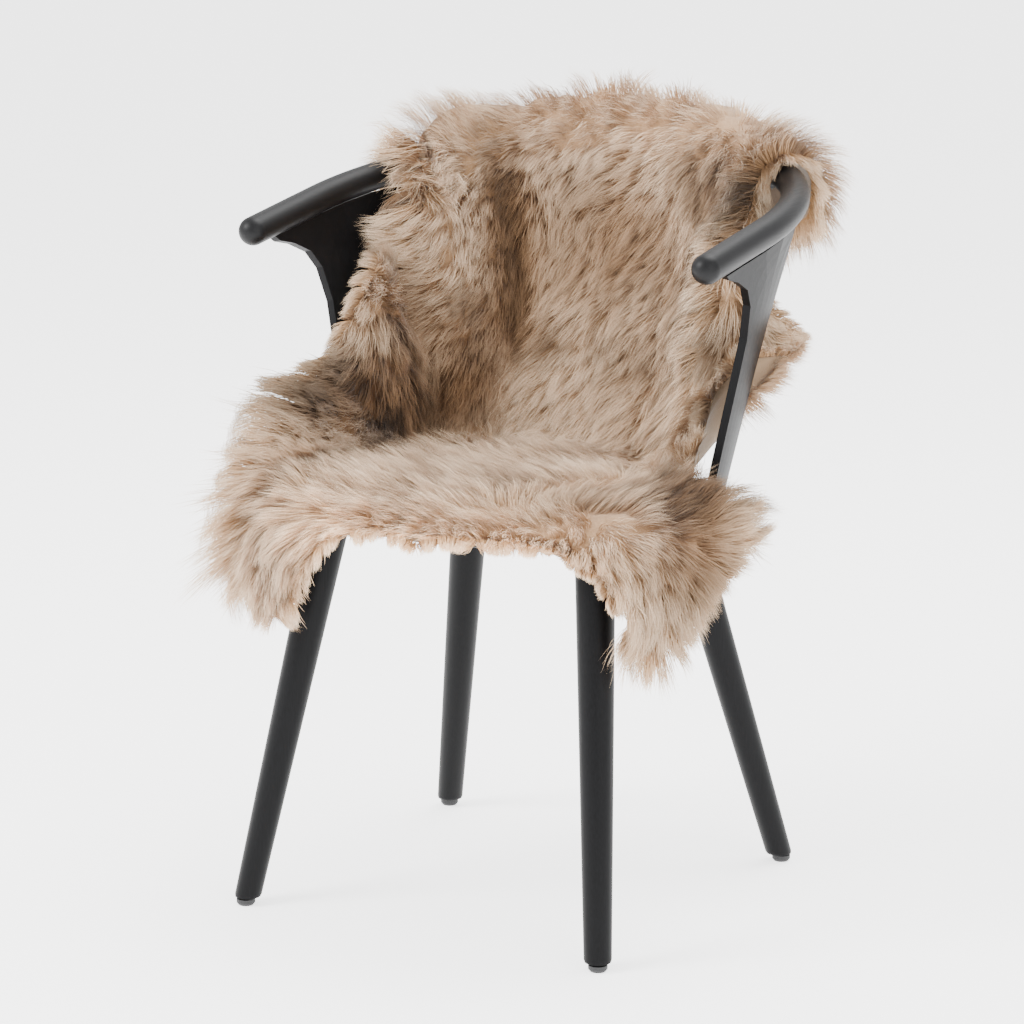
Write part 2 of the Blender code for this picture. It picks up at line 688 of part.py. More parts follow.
def strip_stations(angles, start, end):
    """(lower edge, upper edge, outward) along the rim between two angles, one for each lock's side."""
    width = (end - start) % 360
    corners = rim_corners(angles)
    count = len(angles)
    inside = sorted((k for k in range(count) if (angles[k] - start) % 360 <= width),
                    key=lambda k: (angles[k] - start) % 360)
    outward = {}
    for k in inside:
        along = corners[(k + 1) % count][0] - corners[k - 1][0]
        outward[k] = along.cross(corners[k][1] - corners[k][0]).normalized()
    stations = []
    for first, second in zip(inside, inside[1:]):
        pairs = rim_sections(corners[first], corners[second])
        for n, (low, high) in enumerate(pairs):
            stations.append((low, high, outward[first].lerp(outward[second], n / len(pairs))))
    stations.append((*corners[inside[-1]], outward[inside[-1]]))
    return stations


def make_lock_run(name, angles, start, end, gap, rng):
    """A narrow strip along the rim, each of its outer faces drawn out to a hanging lock."""
    def build(bm):
        sections = []
        for rim_low, rim_high, outward in strip_stations(angles, start, end):
            step = outward.normalized()
            low = rim_low.lerp(rim_high, STRIP_LOW)
            high = rim_low.lerp(rim_high, STRIP_HIGH)
            sections.append([
                bm.verts.new(low + step * gap),
                bm.verts.new(high + step * gap),
                bm.verts.new(high + step * (gap + LOCK_STRIP_DEPTH)),
                bm.verts.new(low + step * (gap + LOCK_STRIP_DEPTH)),
            ])
        for one, two in zip(sections, sections[1:]):
            bm.faces.new((one[1], two[1], two[0], one[0]))
            bm.faces.new((one[2], two[2], two[1], one[1]))
            bm.faces.new((one[0], two[0], two[3], one[3]))
            outward = (one[2].co + two[3].co) / 2 - (one[1].co + two[0].co) / 2
            draw_out_lock(bm, (one[3], two[3], two[2], one[2]), outward.normalized(), rng)
        bm.faces.new(sections[0])
        bm.faces.new(sections[-1][::-1])
        bmesh.ops.recalc_face_normals(bm, faces=bm.faces)

    return mesh_object(name, build)


def draw_out_lock(bm, base, outward, rng):
    """A four-sided lock on a strip's outer face: it narrows, droops and ends in a point."""
    centre = sum((v.co for v in base), Vector()) / 4
    length = LOCK_LENGTH * rng.uniform(*LOCK_LENGTHS)
    droop = Vector((0.0, 0.0, -1.0)) * rng.uniform(*LOCK_DROOPS)
    aside = (base[1].co - base[0].co) * rng.uniform(-LOCK_ASIDE, LOCK_ASIDE)
    middle = centre + (outward + droop * 0.4) * length * 0.5 + aside * 0.3
    ring = [bm.verts.new(middle + (v.co - centre) * LOCK_WAIST) for v in base]
    tip = bm.verts.new(centre + (outward + droop).normalized() * length + aside)
    for k in range(4):
        after = (k + 1) % 4
        bm.faces.new((base[k], base[after], ring[after], ring[k]))
        bm.faces.new((ring[k], ring[after], tip))


def main():
    clear_scene()
    rng = random.Random(SEED)
    collection = bpy.data.collections.new("sheepskin_in_armchair")
    bpy.context.scene.collection.children.link(collection)
    centre = bpy.data.objects.new("chair_centre", None)
    centre.location = (CHAIR_X, CHAIR_Y, 0.0)
    collection.objects.link(centre)

    stained = finish("black_stained_wood", (0.012, 0.012, 0.013), 0.42)
    nylon = finish("black_nylon", (0.010, 0.010, 0.011), 0.6)
    wool = finish("wool", (0.42, 0.29, 0.19), 0.95)

    parts = [(make_seat(), stained), (make_rail(), stained)]
    for side, x in (("left", -1), ("right", 1)):
        for end, y in (("front", -1), ("back", 1)):
            foot = (x * FOOT_X, y * FOOT_Y)
            head = (x * LEG_TOPS[end][0], LEG_TOPS[end][1])
            parts.append((make_leg(f"leg_{end}_{side}", foot, head), stained))
            parts.append((make_glide(f"glide_{end}_{side}", foot), nylon))
        parts.append((make_panel(f"panel_{side}", SIDE_PANEL, mirror=x < 0), stained))
    parts.append((make_panel("panel_back", BACK_PANEL, columns=10), stained))

    angles = outline_angles()
    parts.append((make_sheepskin(angles), wool))
    for name, (start, end, gap) in LOCK_RUNS.items():
        parts.append((make_lock_run(name, angles, start, end, gap, rng), wool))
    for obj, material in parts:
        place(obj, material, collection, centre)


main()
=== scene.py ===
# %% [markdown]
# # A sheepskin rug in a wooden armchair
#
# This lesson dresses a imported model. The chair and the shape of the skin are already there, as
# plain solids. What is missing is the finish: long wool that grows in locks from a thin tanned
# hide, and black-stained wood with a satin lacquer. The wool is the main work. Every hair is a
# small ribbon of mesh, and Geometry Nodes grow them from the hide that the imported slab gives.

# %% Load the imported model
import math

import bmesh
import bpy
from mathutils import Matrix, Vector, noise
from mathutils.bvhtree import BVHTree
from mathutils.kdtree import KDTree


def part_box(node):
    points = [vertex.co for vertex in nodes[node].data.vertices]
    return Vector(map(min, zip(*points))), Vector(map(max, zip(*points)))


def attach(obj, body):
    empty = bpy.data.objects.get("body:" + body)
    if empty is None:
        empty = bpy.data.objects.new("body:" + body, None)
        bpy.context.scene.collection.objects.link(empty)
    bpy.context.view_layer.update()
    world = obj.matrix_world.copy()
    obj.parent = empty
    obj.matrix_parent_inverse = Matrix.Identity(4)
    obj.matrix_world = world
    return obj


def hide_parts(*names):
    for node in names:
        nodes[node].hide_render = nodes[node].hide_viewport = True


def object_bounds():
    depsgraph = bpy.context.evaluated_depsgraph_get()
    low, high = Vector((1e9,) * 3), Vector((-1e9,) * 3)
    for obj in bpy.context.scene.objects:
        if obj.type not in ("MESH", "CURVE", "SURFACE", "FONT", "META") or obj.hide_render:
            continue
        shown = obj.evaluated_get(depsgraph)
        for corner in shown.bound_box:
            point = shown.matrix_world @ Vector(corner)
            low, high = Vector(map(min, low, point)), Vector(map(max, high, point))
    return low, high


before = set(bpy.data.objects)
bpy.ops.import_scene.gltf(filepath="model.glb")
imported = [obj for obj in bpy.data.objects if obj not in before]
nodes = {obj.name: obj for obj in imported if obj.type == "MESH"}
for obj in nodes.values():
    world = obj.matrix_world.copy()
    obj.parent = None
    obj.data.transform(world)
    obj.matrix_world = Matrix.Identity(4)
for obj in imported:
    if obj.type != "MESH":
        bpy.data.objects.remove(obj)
cad_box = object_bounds()
print("nodes:", len(nodes), "box:", [[round(v, 3) for v in corner] for corner in cad_box])

# %% [markdown]
# ## Small helpers
#
# Colours are written as the sRGB hex values that a paint chart or a photo shows, and one function
# turns them to the linear values that Blender shades with. One more function adds a node, sets
# its properties and links its sockets, for shaders and Geometry Nodes alike.

# %% Helpers
def linear(hex_colour, alpha=1.0):
    """An sRGB hex colour as the linear RGBA that a shader wants."""
    channels = [int(hex_colour[i:i + 2], 16) / 255 for i in (1, 3, 5)]
    curve = [c / 12.92 if c <= 0.04045 else ((c + 0.055) / 1.055) ** 2.4 for c in channels]
    return (*curve, alpha)


def add(tree, kind, inputs=None, output=None, **settings):
    """Adds one node and gives it back, or the one of its outputs that is asked for.

    Settings are its properties. Inputs are values or outputs, by name or number.
    """
    node = tree.nodes.new(kind)
    for key, value in settings.items():
        setattr(node, key, value)
    for key, value in (inputs or {}).items():
        if isinstance(value, bpy.types.NodeSocket):
            tree.links.new(value, node.inputs[key])
        else:
            node.inputs[key].default_value = value
    return node if output is None else node.outputs[output]


def new_material(name):
    """An empty Principled material: its tree, its shader and itself."""
    material = bpy.data.materials.new(name)
    material.use_nodes = True
    return material.node_tree, material.node_tree.nodes["Principled BSDF"], material


def set_sockets(shader, values):
    """Sets what is the same all over a surface on the shader's own sockets."""
    for name, value in values.items():
        shader.inputs[name].default_value = value


def patterned(tree, shader, pattern, colours, relief, strength, height):
    """Colours a surface by one pattern, as {stop: hex colour}, and raises it by another."""
    colour = add(tree, "ShaderNodeValToRGB", {"Fac": pattern})
    for stop, (position, hex_colour) in zip(colour.color_ramp.elements, colours.items()):
        stop.position, stop.color = position, linear(hex_colour)
    tree.links.new(colour.outputs["Color"], shader.inputs["Base Color"])
    bump = add(tree, "ShaderNodeBump",
               {"Height": relief, "Strength": strength, "Distance": height}, "Normal")
    tree.links.new(bump, shader.inputs["Normal"])


def mesh_object(name, mesh):
    obj = bpy.data.objects.new(name, mesh)
    bpy.context.scene.collection.objects.link(obj)
    return obj


def mesh_from(bm, name):
    """A new mesh with what the bmesh holds, which is freed."""
    mesh = bpy.data.meshes.new(name)
    bm.to_mesh(mesh)
    bm.free()
    return mesh


def finished_mesh(obj):
    """The object's mesh as its modifiers leave it."""
    bpy.context.view_layer.update()
    depsgraph = bpy.context.evaluated_depsgraph_get()
    return bpy.data.meshes.new_from_object(obj.evaluated_get(depsgraph))


def nearness(point, place, reach):
    """One at the place itself, falling smoothly to nothing a few reaches away."""
    return math.exp(-((point - Vector(place)).length_squared) / reach**2)


# %% [markdown]
# ## Where things are
#
# The chair's middle is the middle of its four glides. Angles in plan are measured about it, so
# that "back", "front" and "side" have a meaning for the skin too. The wool's own sizes are here
# as well: a long-wool sheepskin has hair 50 to 60 mm long that parts into locks a
# little more than a centimetre apart.

# %% Places and sizes
glides = [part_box(name) for name in nodes if name.startswith("glide")]
middle = sum(((low + high) / 2 for low, high in glides), Vector()) / len(glides)
seat_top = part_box("seat")[1].z
rail_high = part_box("rail")[1]

WOOL_LENGTH = 0.058
HAIR_WIDTH = 0.0010
LOCK_SPACING = 0.0125
HIDE_THICKNESS = 0.0018
UNDERCOAT_SHARE = 0.60  # the dense short wool, as a share of the pile's depth
RIM_DEPTH = 0.019
print("middle of the chair:", [round(v, 4) for v in middle], "seat top:", round(seat_top, 3))

# %% [markdown]
# ## The hide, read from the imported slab
#
# On the real object the hide is one thin sheet, tanned on its under side, with the wool growing
# from the other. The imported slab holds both. Its under side is the hide, and the distance from
# there to the slab's top is the depth of the wool at that place. So the hide is found by walking
# over the slab's faces from the middle of its under side, never across the sharp corner of the
# rim, and two rounds of Subdivision Surface then make its facets a soft surface.

# %% Find the hide on the slab
def merged_bmesh(obj):
    bm = bmesh.new()
    bm.from_mesh(obj.data)
    bmesh.ops.remove_doubles(bm, verts=bm.verts, dist=2e-5)
    return bm


def world_tree(names):
    """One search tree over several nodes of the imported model."""
    points, triangles = [], []
    for name in names:
        mesh = nodes[name].data
        mesh.calc_loop_triangles()
        first = len(points)
        points += [v.co.copy() for v in mesh.vertices]
        triangles += [tuple(first + i for i in t.vertices) for t in mesh.loop_triangles]
    return BVHTree.FromPolygons(points, triangles)


RIM_CORNER = math.radians(52)
NICK = Vector((0.222, -0.235, 0.350))  # the inner edge of the right flap is cut in here
NICK_RADIUS = 0.034

slab = merged_bmesh(nodes["sheepskin"])
slab_tree = BVHTree.FromBMesh(slab)
chair_names = [n for n in nodes if n == "rail" or n.startswith(("panel", "leg"))]
chair_tree = world_tree(chair_names)

FACING_DOWN = -0.95
on_seat = [f for f in slab.faces
           if f.normal.z < FACING_DOWN and f.calc_center_median().z < seat_top + 0.002]
first = min(on_seat, key=lambda f: (f.calc_center_median() - middle).xy.length)
found, queue = {first}, [first]
while queue:
    face = queue.pop()
    for edge in face.edges:
        for other in edge.link_faces:
            nicked = (other.calc_center_median() - NICK).length < NICK_RADIUS
            if other not in found and not nicked and face.normal.angle(other.normal) < RIM_CORNER:
                found.add(other)
                queue.append(other)
bmesh.ops.delete(slab, geom=[f for f in slab.faces if f not in found], context="FACES")
bmesh.ops.join_triangles(slab, faces=slab.faces, angle_face_threshold=0.5,
                         angle_shape_threshold=1.2)
bmesh.ops.reverse_faces(slab, faces=slab.faces)
cage = mesh_object("hide_cage", mesh_from(slab, "hide_cage"))


def softened(levels):
    """The hide's cage after some rounds of subdivision, as a plain mesh."""
    soften = cage.modifiers.new("soften", "SUBSURF")
    soften.levels = soften.render_levels = levels
    mesh = finished_mesh(cage)
    cage.modifiers.remove(soften)
    return mesh


skin = softened(2)
coarse_skin = softened(1)
bpy.data.objects.remove(cage)

# %% [markdown]
# ## Which way the wool lies, where it is browner, and where shade and light are painted
#
# Wool on a used skin lies in flows: it sweeps off the folds, falls over the front edge, and turns
# under at the flaps. Two short tables hold what the eye sees from the front right corner. FLOWS
# gives the lie of the wool at places on the skin, as right and up in that view. The second table
# gives places that are browner than the rest, and places where shade is painted on the wool: the
# inside of the standing fold, the parting down the back, and the crease where the back meets the
# seat. Below nothing, that painted shade is painted light, which makes the crest, the ridge and
# the tips over the front edge paler.

# %% Tables of flow, brown tint and painted shade
VIEW_AZIMUTH = math.radians(29.903)
VIEW_RIGHT = Vector((math.cos(VIEW_AZIMUTH), math.sin(VIEW_AZIMUTH), 0.0))
VIEW_ELEVATION = math.radians(12.383)
VIEW_AHEAD = Vector((-math.sin(VIEW_AZIMUTH) * math.cos(VIEW_ELEVATION),
                     math.cos(VIEW_AZIMUTH) * math.cos(VIEW_ELEVATION), -math.sin(VIEW_ELEVATION)))

# x, y, z, right, up
FLOWS = [
    # the back, from the left roll to the right shoulder
    (-0.180, 0.120, 0.810, -0.9, 0.1),
    (-0.190, 0.075, 0.750, -0.9, -0.4),
    (-0.165, 0.065, 0.680, -0.6, -0.8),
    (-0.130, 0.140, 0.730, -0.2, -1.0),
    (-0.040, 0.190, 0.820, -0.3, -0.5),
    (-0.030, 0.150, 0.720, -0.3, -1.0),
    (0.000, 0.120, 0.600, -0.3, -0.9),
    (0.050, 0.170, 0.760, -0.5, -1.0),
    (0.125, 0.140, 0.760, 0.8, -0.8),
    (0.200, 0.150, 0.800, 0.9, -0.3),
    (0.150, 0.060, 0.640, 0.3, -0.9),
    (0.225, 0.085, 0.610, 0.8, -0.6),
    (0.210, -0.070, 0.480, 0.9, 0.8),
    (0.235, 0.070, 0.590, 1.0, -0.6),
    # the hollow above the seat, and the standing fold on the left
    (-0.050, 0.100, 0.530, -0.4, -0.8),
    (0.180, -0.040, 0.550, -0.6, -0.6),
    (-0.210, 0.030, 0.670, -0.7, 0.5),
    (-0.170, -0.030, 0.580, -0.3, -0.9),
    (-0.220, -0.110, 0.550, -0.9, 0.1),
    # the seat and its front edge
    (-0.190, -0.120, 0.500, -0.9, 0.0),
    (-0.050, -0.100, 0.480, -0.9, -0.3),
    (0.050, 0.000, 0.480, -0.5, -0.8),
    (-0.100, -0.250, 0.470, -0.6, -0.9),
    (0.050, -0.270, 0.460, -0.3, -1.0),
    (0.150, -0.220, 0.460, 0.1, -1.0),
    # the two flaps
    (-0.285, -0.120, 0.450, -0.8, -0.8),
    (-0.270, -0.180, 0.420, -0.4, -1.1),
    (-0.250, -0.220, 0.400, 0.3, -1.0),
    (-0.200, -0.280, 0.350, 0.9, -0.8),
    (0.250, -0.090, 0.480, 0.7, 0.3),
    (0.285, -0.110, 0.460, 0.3, 1.2),
    (0.270, -0.170, 0.420, 0.0, -1.2),
    (0.225, -0.238, 0.370, 0.5, -1.0),
    (0.235, -0.235, 0.325, -0.6, -1.0),
]
FLOW_REACH = 0.055

# x, y, z, radius, brown, painted shade (below nothing it is painted light)
TINT_AND_PAINTED_SHADE_PATCHES = [
    # the parting down the back: browner, with painted shade in the parting
    (-0.146, 0.149, 0.791, 0.025, 0.6, 0.85),
    (-0.136, 0.144, 0.758, 0.025, 0.8, 0.95),
    (-0.129, 0.141, 0.725, 0.025, 0.8, 0.95),
    (-0.123, 0.136, 0.686, 0.025, 0.8, 0.95),
    (-0.115, 0.130, 0.648, 0.025, 0.8, 0.85),
    (-0.109, 0.124, 0.612, 0.025, 0.8, 0.85),
    # painted shade in the deep hollow between the fold and the back, and browner
    (-0.125, 0.084, 0.620, 0.034, 0.6, 0.55),
    (-0.124, 0.071, 0.570, 0.034, 0.6, 0.56),
    (-0.120, 0.062, 0.520, 0.036, 0.5, 0.48),
    # painted shade inside the standing fold, and browner
    (-0.187, 0.035, 0.621, 0.036, 0.8, 0.49),
    (-0.163, -0.020, 0.590, 0.040, 0.9, 0.76),
    (-0.163, -0.046, 0.591, 0.036, 0.9, 0.63),
    (-0.178, -0.085, 0.562, 0.044, 0.9, 0.92),
    (-0.164, 0.020, 0.533, 0.045, 0.9, 0.90),
    (-0.165, -0.045, 0.515, 0.040, 0.9, 0.95),
    (-0.205, -0.120, 0.528, 0.038, 0.9, 0.95),
    # the whole back, a little browner than the rest, with painted shade
    (-0.050, 0.150, 0.720, 0.085, 0.5, 0.26),
    (0.040, 0.150, 0.690, 0.070, 0.5, 0.29),
    (0.096, 0.160, 0.770, 0.050, 0.6, 0.55),
    (0.166, 0.120, 0.758, 0.050, 0.6, 0.72),
    (0.109, 0.115, 0.678, 0.040, 0.4, 0.36),
    # painted shade in the crease under the back, and a little browner
    (-0.096, 0.124, 0.591, 0.022, 0.5, 0.70),
    (-0.057, 0.122, 0.592, 0.022, 0.4, 0.63),
    (0.000, 0.121, 0.590, 0.022, 0.3, 0.43),
    (0.049, 0.113, 0.579, 0.026, 0.4, 0.43),
    # painted shade in the right inner corner, and browner
    (0.173, 0.052, 0.620, 0.036, 0.8, 0.70),
    (0.187, -0.010, 0.560, 0.040, 0.7, 0.56),
    (0.165, 0.000, 0.510, 0.035, 0.5, 0.49),
    # darker places over the right flap and the front edge: painted shade, and browner
    (0.183, -0.115, 0.483, 0.034, 0.8, 0.80),
    (0.233, -0.144, 0.473, 0.038, 0.9, 0.90),
    (0.262, -0.165, 0.440, 0.050, 0.2, 0.22),
    (0.250, -0.200, 0.385, 0.050, 0.1, 0.12),
    (0.217, -0.095, 0.480, 0.036, 0.8, 0.85),
    (0.120, -0.205, 0.480, 0.030, 0.6, 0.43),
    (0.245, -0.175, 0.420, 0.040, 0.5, 0.36),
    (-0.020, -0.230, 0.482, 0.030, 0.3, 0.25),
    # painted shade where the wool turns round the rail at the right shoulder, and browner
    (0.197, 0.155, 0.778, 0.036, 0.6, 0.50),
    (0.230, 0.130, 0.760, 0.040, 0.4, 0.30),
    # the left roll, and the seat, a little browner, with a little painted shade
    (-0.165, 0.110, 0.760, 0.060, 0.2, 0.12),
    (0.000, -0.150, 0.490, 0.100, 0.1, 0.06),
    # painted light, and less brown: the crest, the ridge down the right of the back, and the tips
    # over the front edge
    (0.030, 0.205, 0.829, 0.060, -0.3, -0.05),
    (0.047, 0.186, 0.798, 0.020, -0.5, -0.30),
    (0.063, 0.167, 0.768, 0.018, -0.6, -0.40),
    (0.080, 0.155, 0.738, 0.018, -0.6, -0.40),
    (0.095, 0.142, 0.707, 0.018, -0.5, -0.35),
    (0.120, 0.105, 0.680, 0.020, -0.4, -0.25),
    (-0.100, -0.275, 0.440, 0.050, -0.4, -0.38),
    (0.000, -0.295, 0.435, 0.060, -0.4, -0.42),
    (0.110, -0.270, 0.435, 0.060, -0.4, -0.42),
]


def flow_at(point):
    """The lie of the wool there, as a direction that still has to be laid on the skin."""
    total = Vector((0.0, 0.0, -0.02))
    for x, y, z, right, up in FLOWS:
        weight = nearness(point, (x, y, z), FLOW_REACH)
        total += (VIEW_RIGHT * right + Vector((0.0, 0.0, up))) * weight
    return total.normalized()


MOST_PAINTED_LIGHT = -0.45  # the most painted light that wool gets, as a painted shade below nothing


def patch_at(point):
    """(brown, painted shade) at a place, from the patches that reach it; painted shade below nothing
    is painted light.
    """
    brown = dark = painted_light = 0.0
    for x, y, z, radius, more_brown, more_painted_shade in TINT_AND_PAINTED_SHADE_PATCHES:
        weight = nearness(point, (x, y, z), radius)
        brown += more_brown * weight
        dark = max(dark, more_painted_shade * weight)
        painted_light += min(more_painted_shade, 0.0) * weight
    return brown, max(dark + painted_light, MOST_PAINTED_LIGHT)


# %% [markdown]
# ## Depth, comb, sweep, tint and painted shade at each point
#
# Each point of the hide keeps the values that a hair will read: the depth of the wool, the
# direction of its comb, how far it may sweep before it meets the chair, how brown it is, and how
# much painted shade darkens it. Real wool stands in tufts of a few centimetres, which two rounds
# of smooth noise give.

# %% Values on the hide
PALEST_RIM = 0.035  # how far in from the rim the wool is paler and combed outwards
TUFTS_PER_METRE, DRIFTS_PER_METRE = 24.0, 11.0
TUFT_HEIGHT = 0.16
TUFT_TURN, DRIFT_TURN = 0.55, 0.50  # how far tufts, and wider drifts, turn the comb
SHALLOWEST, DEEPEST = 0.012, 0.070
LEAST_SWEEP, LEAST_CLEAR = 0.036, 0.010
TRIMMED_RIM = 0.026
PAST_RIM = 0.055
TINT = 0.14
COMB_SEED = 7
noise.seed_set(COMB_SEED)  # noise_vector would otherwise shift its pattern by the clock


def rim_of(mesh):
    """The skin's cut edge: for each of its points, the place and the way out past it."""
    bm = bmesh.new()
    bm.from_mesh(mesh)
    bm.normal_update()
    edge = []
    for vert in bm.verts:
        ends = [e.other_vert(vert) for e in vert.link_edges if e.is_boundary]
        inner = [e.other_vert(vert) for e in vert.link_edges if not e.is_boundary]
        if len(ends) != 2 or not inner:
            continue
        out = (ends[0].co - ends[1].co).cross(vert.normal).normalized()
        if out.dot(inner[0].co - vert.co) > 0:
            out.negate()
        edge.append((vert.co.copy(), out))
    bm.free()
    return edge


rim = rim_of(skin)
rim_tree = KDTree(len(rim))
for index, (place, _) in enumerate(rim):
    rim_tree.insert(place, index)
rim_tree.balance()


def wool_depth(point, normal):
    """From the hide to the slab's top; the rim's depth where the slab has no top above."""
    hit = slab_tree.ray_cast(point + normal * 0.002, normal, 0.09)
    return hit[3] + 0.002 if hit[0] else RIM_DEPTH


CLEAR_OF_CHAIR = 0.006


def laid_clear(start, way, wanted):
    """A hair's way and sweep, turned along the chair where it would meet it, or else cut short."""
    for _ in range(3):
        place, face, _, distance = chair_tree.ray_cast(start, way, wanted + CLEAR_OF_CHAIR)
        if place is None:
            return way, wanted
        if face.dot(way) > 0:
            face = -face
        way = (way + face * 0.6).normalized()
    return way, min(max(distance - CLEAR_OF_CHAIR, LEAST_CLEAR), wanted)


# Round the edge, by the angle in plan from the sitter's left: how long the wool is there, and
# how strongly it falls. It is clipped short in front, where it would hide the seat's edge.
# angle, length, fall
FALLS = [
    (0, 1.30, 0.0),
    (12, 0.38, 0.0),
    (20, 0.38, 0.0),
    (33, 0.34, 0.1),
    (40, 0.50, 0.6),
    (48, 0.50, 0.7),
    (54, 0.90, 1.0),
    (90, 1.00, 1.1),
    (135, 1.15, 0.3),
    (148, 1.10, 0.2),
    (156, 0.40, 0.8),
    (186, 0.35, 0.8),
    (193, 1.55, 0.0),
    (214, 1.60, 0.1),
    (222, 0.50, 0.8),
    (238, 0.50, 0.9),
    (250, 0.26, 0.8),
    (300, 0.20, 0.8),
    (308, 0.10, 0.6),
    (318, 0.10, 0.8),
    (322, 0.30, 1.0),
    (327, 1.35, 1.2),
    (334, 0.50, 1.0),
    (341, 0.18, 0.6),
    (348, 0.18, 0.2),
    (353, 0.60, 0.0),
    (357, 1.10, 0.0),
    (360, 1.30, 0.0),
]


def fall_at(point):
    """(length, fall) of the wool at the edge, read between the table's rows."""
    angle = math.degrees(math.atan2(point.y - middle.y, point.x - middle.x)) % 360
    for (a, *low), (b, *high) in zip(FALLS, FALLS[1:]):
        if angle <= b:
            share = (angle - a) / (b - a)
            return [one + (two - one) * share for one, two in zip(low, high)]
    return FALLS[-1][1:]


# x, y, z, radius, lift
LIFTS = [
    # the crest over the rail stands high, the edges of the flaps and wings lie flat
    (-0.200, 0.130, 0.800, 0.070, 0.018),
    (-0.110, 0.215, 0.805, 0.080, 0.019),
    (-0.010, 0.235, 0.808, 0.070, 0.016),
    (0.070, 0.225, 0.805, 0.050, 0.010),
    (0.225, 0.085, 0.600, 0.050, -0.018),
    (-0.215, 0.030, 0.640, 0.050, -0.010),
    (-0.215, -0.060, 0.600, 0.040, -0.010),
    (0.270, -0.170, 0.400, 0.060, -0.010),
    (-0.285, -0.110, 0.440, 0.080, 0.036),
    (-0.240, -0.250, 0.380, 0.050, -0.006),
    (0.205, -0.065, 0.460, 0.050, 0.030),
    (0.275, -0.110, 0.450, 0.035, 0.008),
    (-0.100, -0.270, 0.435, 0.055, -0.026),
    (0.000, -0.290, 0.435, 0.060, -0.028),
    (0.110, -0.265, 0.435, 0.055, -0.028),
]


def lift_at(point):
    return sum(lift * nearness(point, (x, y, z), radius) for x, y, z, radius, lift in LIFTS)


def wool_values(point, normal):
    """Everything that a hair reads at one point of the skin."""
    _, index, distance = rim_tree.find(point)
    near_rim = math.exp(-((distance / PALEST_RIM) ** 2))
    tuft = noise.noise(point * TUFTS_PER_METRE)
    depth = wool_depth(point, normal) * (1.0 + TUFT_HEIGHT * tuft) + lift_at(point)
    depth = min(max(depth, SHALLOWEST), DEEPEST)
    top = point + normal * depth
    way = flow_at(top) + noise.noise_vector(point * DRIFTS_PER_METRE) * DRIFT_TURN
    way += noise.noise_vector(point * TUFTS_PER_METRE) * TUFT_TURN
    length, _ = fall_at(point)
    outward = 0.3 + 0.35 * min(length, 1.4)
    way = way.lerp(rim[index][1] + Vector((0, 0, -0.5)), outward * near_rim)
    way -= normal * way.dot(normal)
    way.normalize()
    sweep = math.sqrt(max(WOOL_LENGTH**2 - depth**2, LEAST_SWEEP**2))
    if length > 1.0:
        sweep *= 1.0 + (length - 1.0) * math.exp(-((distance / TRIMMED_RIM) ** 2))
    else:
        sweep = min(sweep, distance + PAST_RIM * length)
    way, sweep = laid_clear(point + normal * depth * 0.7, way, sweep)
    # the brown tint here, and the painted shade, or painted light below nothing, of the patches
    brown, dark = patch_at(top)
    patchy = noise.noise(point * 8.0) * 0.30 + noise.noise(point * 30.0) * 0.12
    tint = min(max(TINT + brown * (1 - 0.6 * near_rim) + patchy - 0.20 * near_rim, 0.0), 1.0)
    return {"depth": depth, "sweep": sweep, "tint": tint, "dark": dark, "comb": way}


def keep_values(mesh, rows):
    """Writes the hair's values on a mesh's points."""
    for name in rows[0]:
        if name == "comb":
            layer = mesh.attributes.new(name, "FLOAT_VECTOR", "POINT")
            layer.data.foreach_set("vector", [c for row in rows for c in row[name]])
        else:
            layer = mesh.attributes.new(name, "FLOAT", "POINT")
            layer.data.foreach_set("value", [row[name] for row in rows])


for mesh in (skin, coarse_skin):
    rows = [wool_values(vert.co, vert.normal) for vert in mesh.vertices]
    keep_values(mesh, rows)
depths = [row["depth"] for row in rows]
print("wool depth from", round(min(depths), 3), "to", round(max(depths), 3))

# %% [markdown]
# ## The finish of the wool
#
# Wool is a dull, translucent protein fibre: rough, with hardly any gloss, and paler towards the
# tip where light has bleached it. The real one goes from a warm dark brown at the root to a
# pinkish beige at the tip. Each hair carries how far along it a point is (t), its own shade, and
# the tint of the skin there, and the material mixes its colours by these. Painted shade from the
# patches then darkens the colour in the hollows and creases, and painted light makes it paler on
# the crest and the ridge.

# %% Wool material
WOOL_COLOURS = {
    "pale": ("#9a7550", "#bf9b76", "#e4cbae"),
    "brown": ("#5c3e25", "#805c3e", "#a98460"),
}
STREAKS_PER_METRE = 420.0  # a streak about as wide as two hairs
STREAK = 0.14  # how far a streak shifts the colour along the hair
DEEPEST_PAINTED_SHADE = 0.12  # what the painted shade leaves of the colour in the deepest hollow


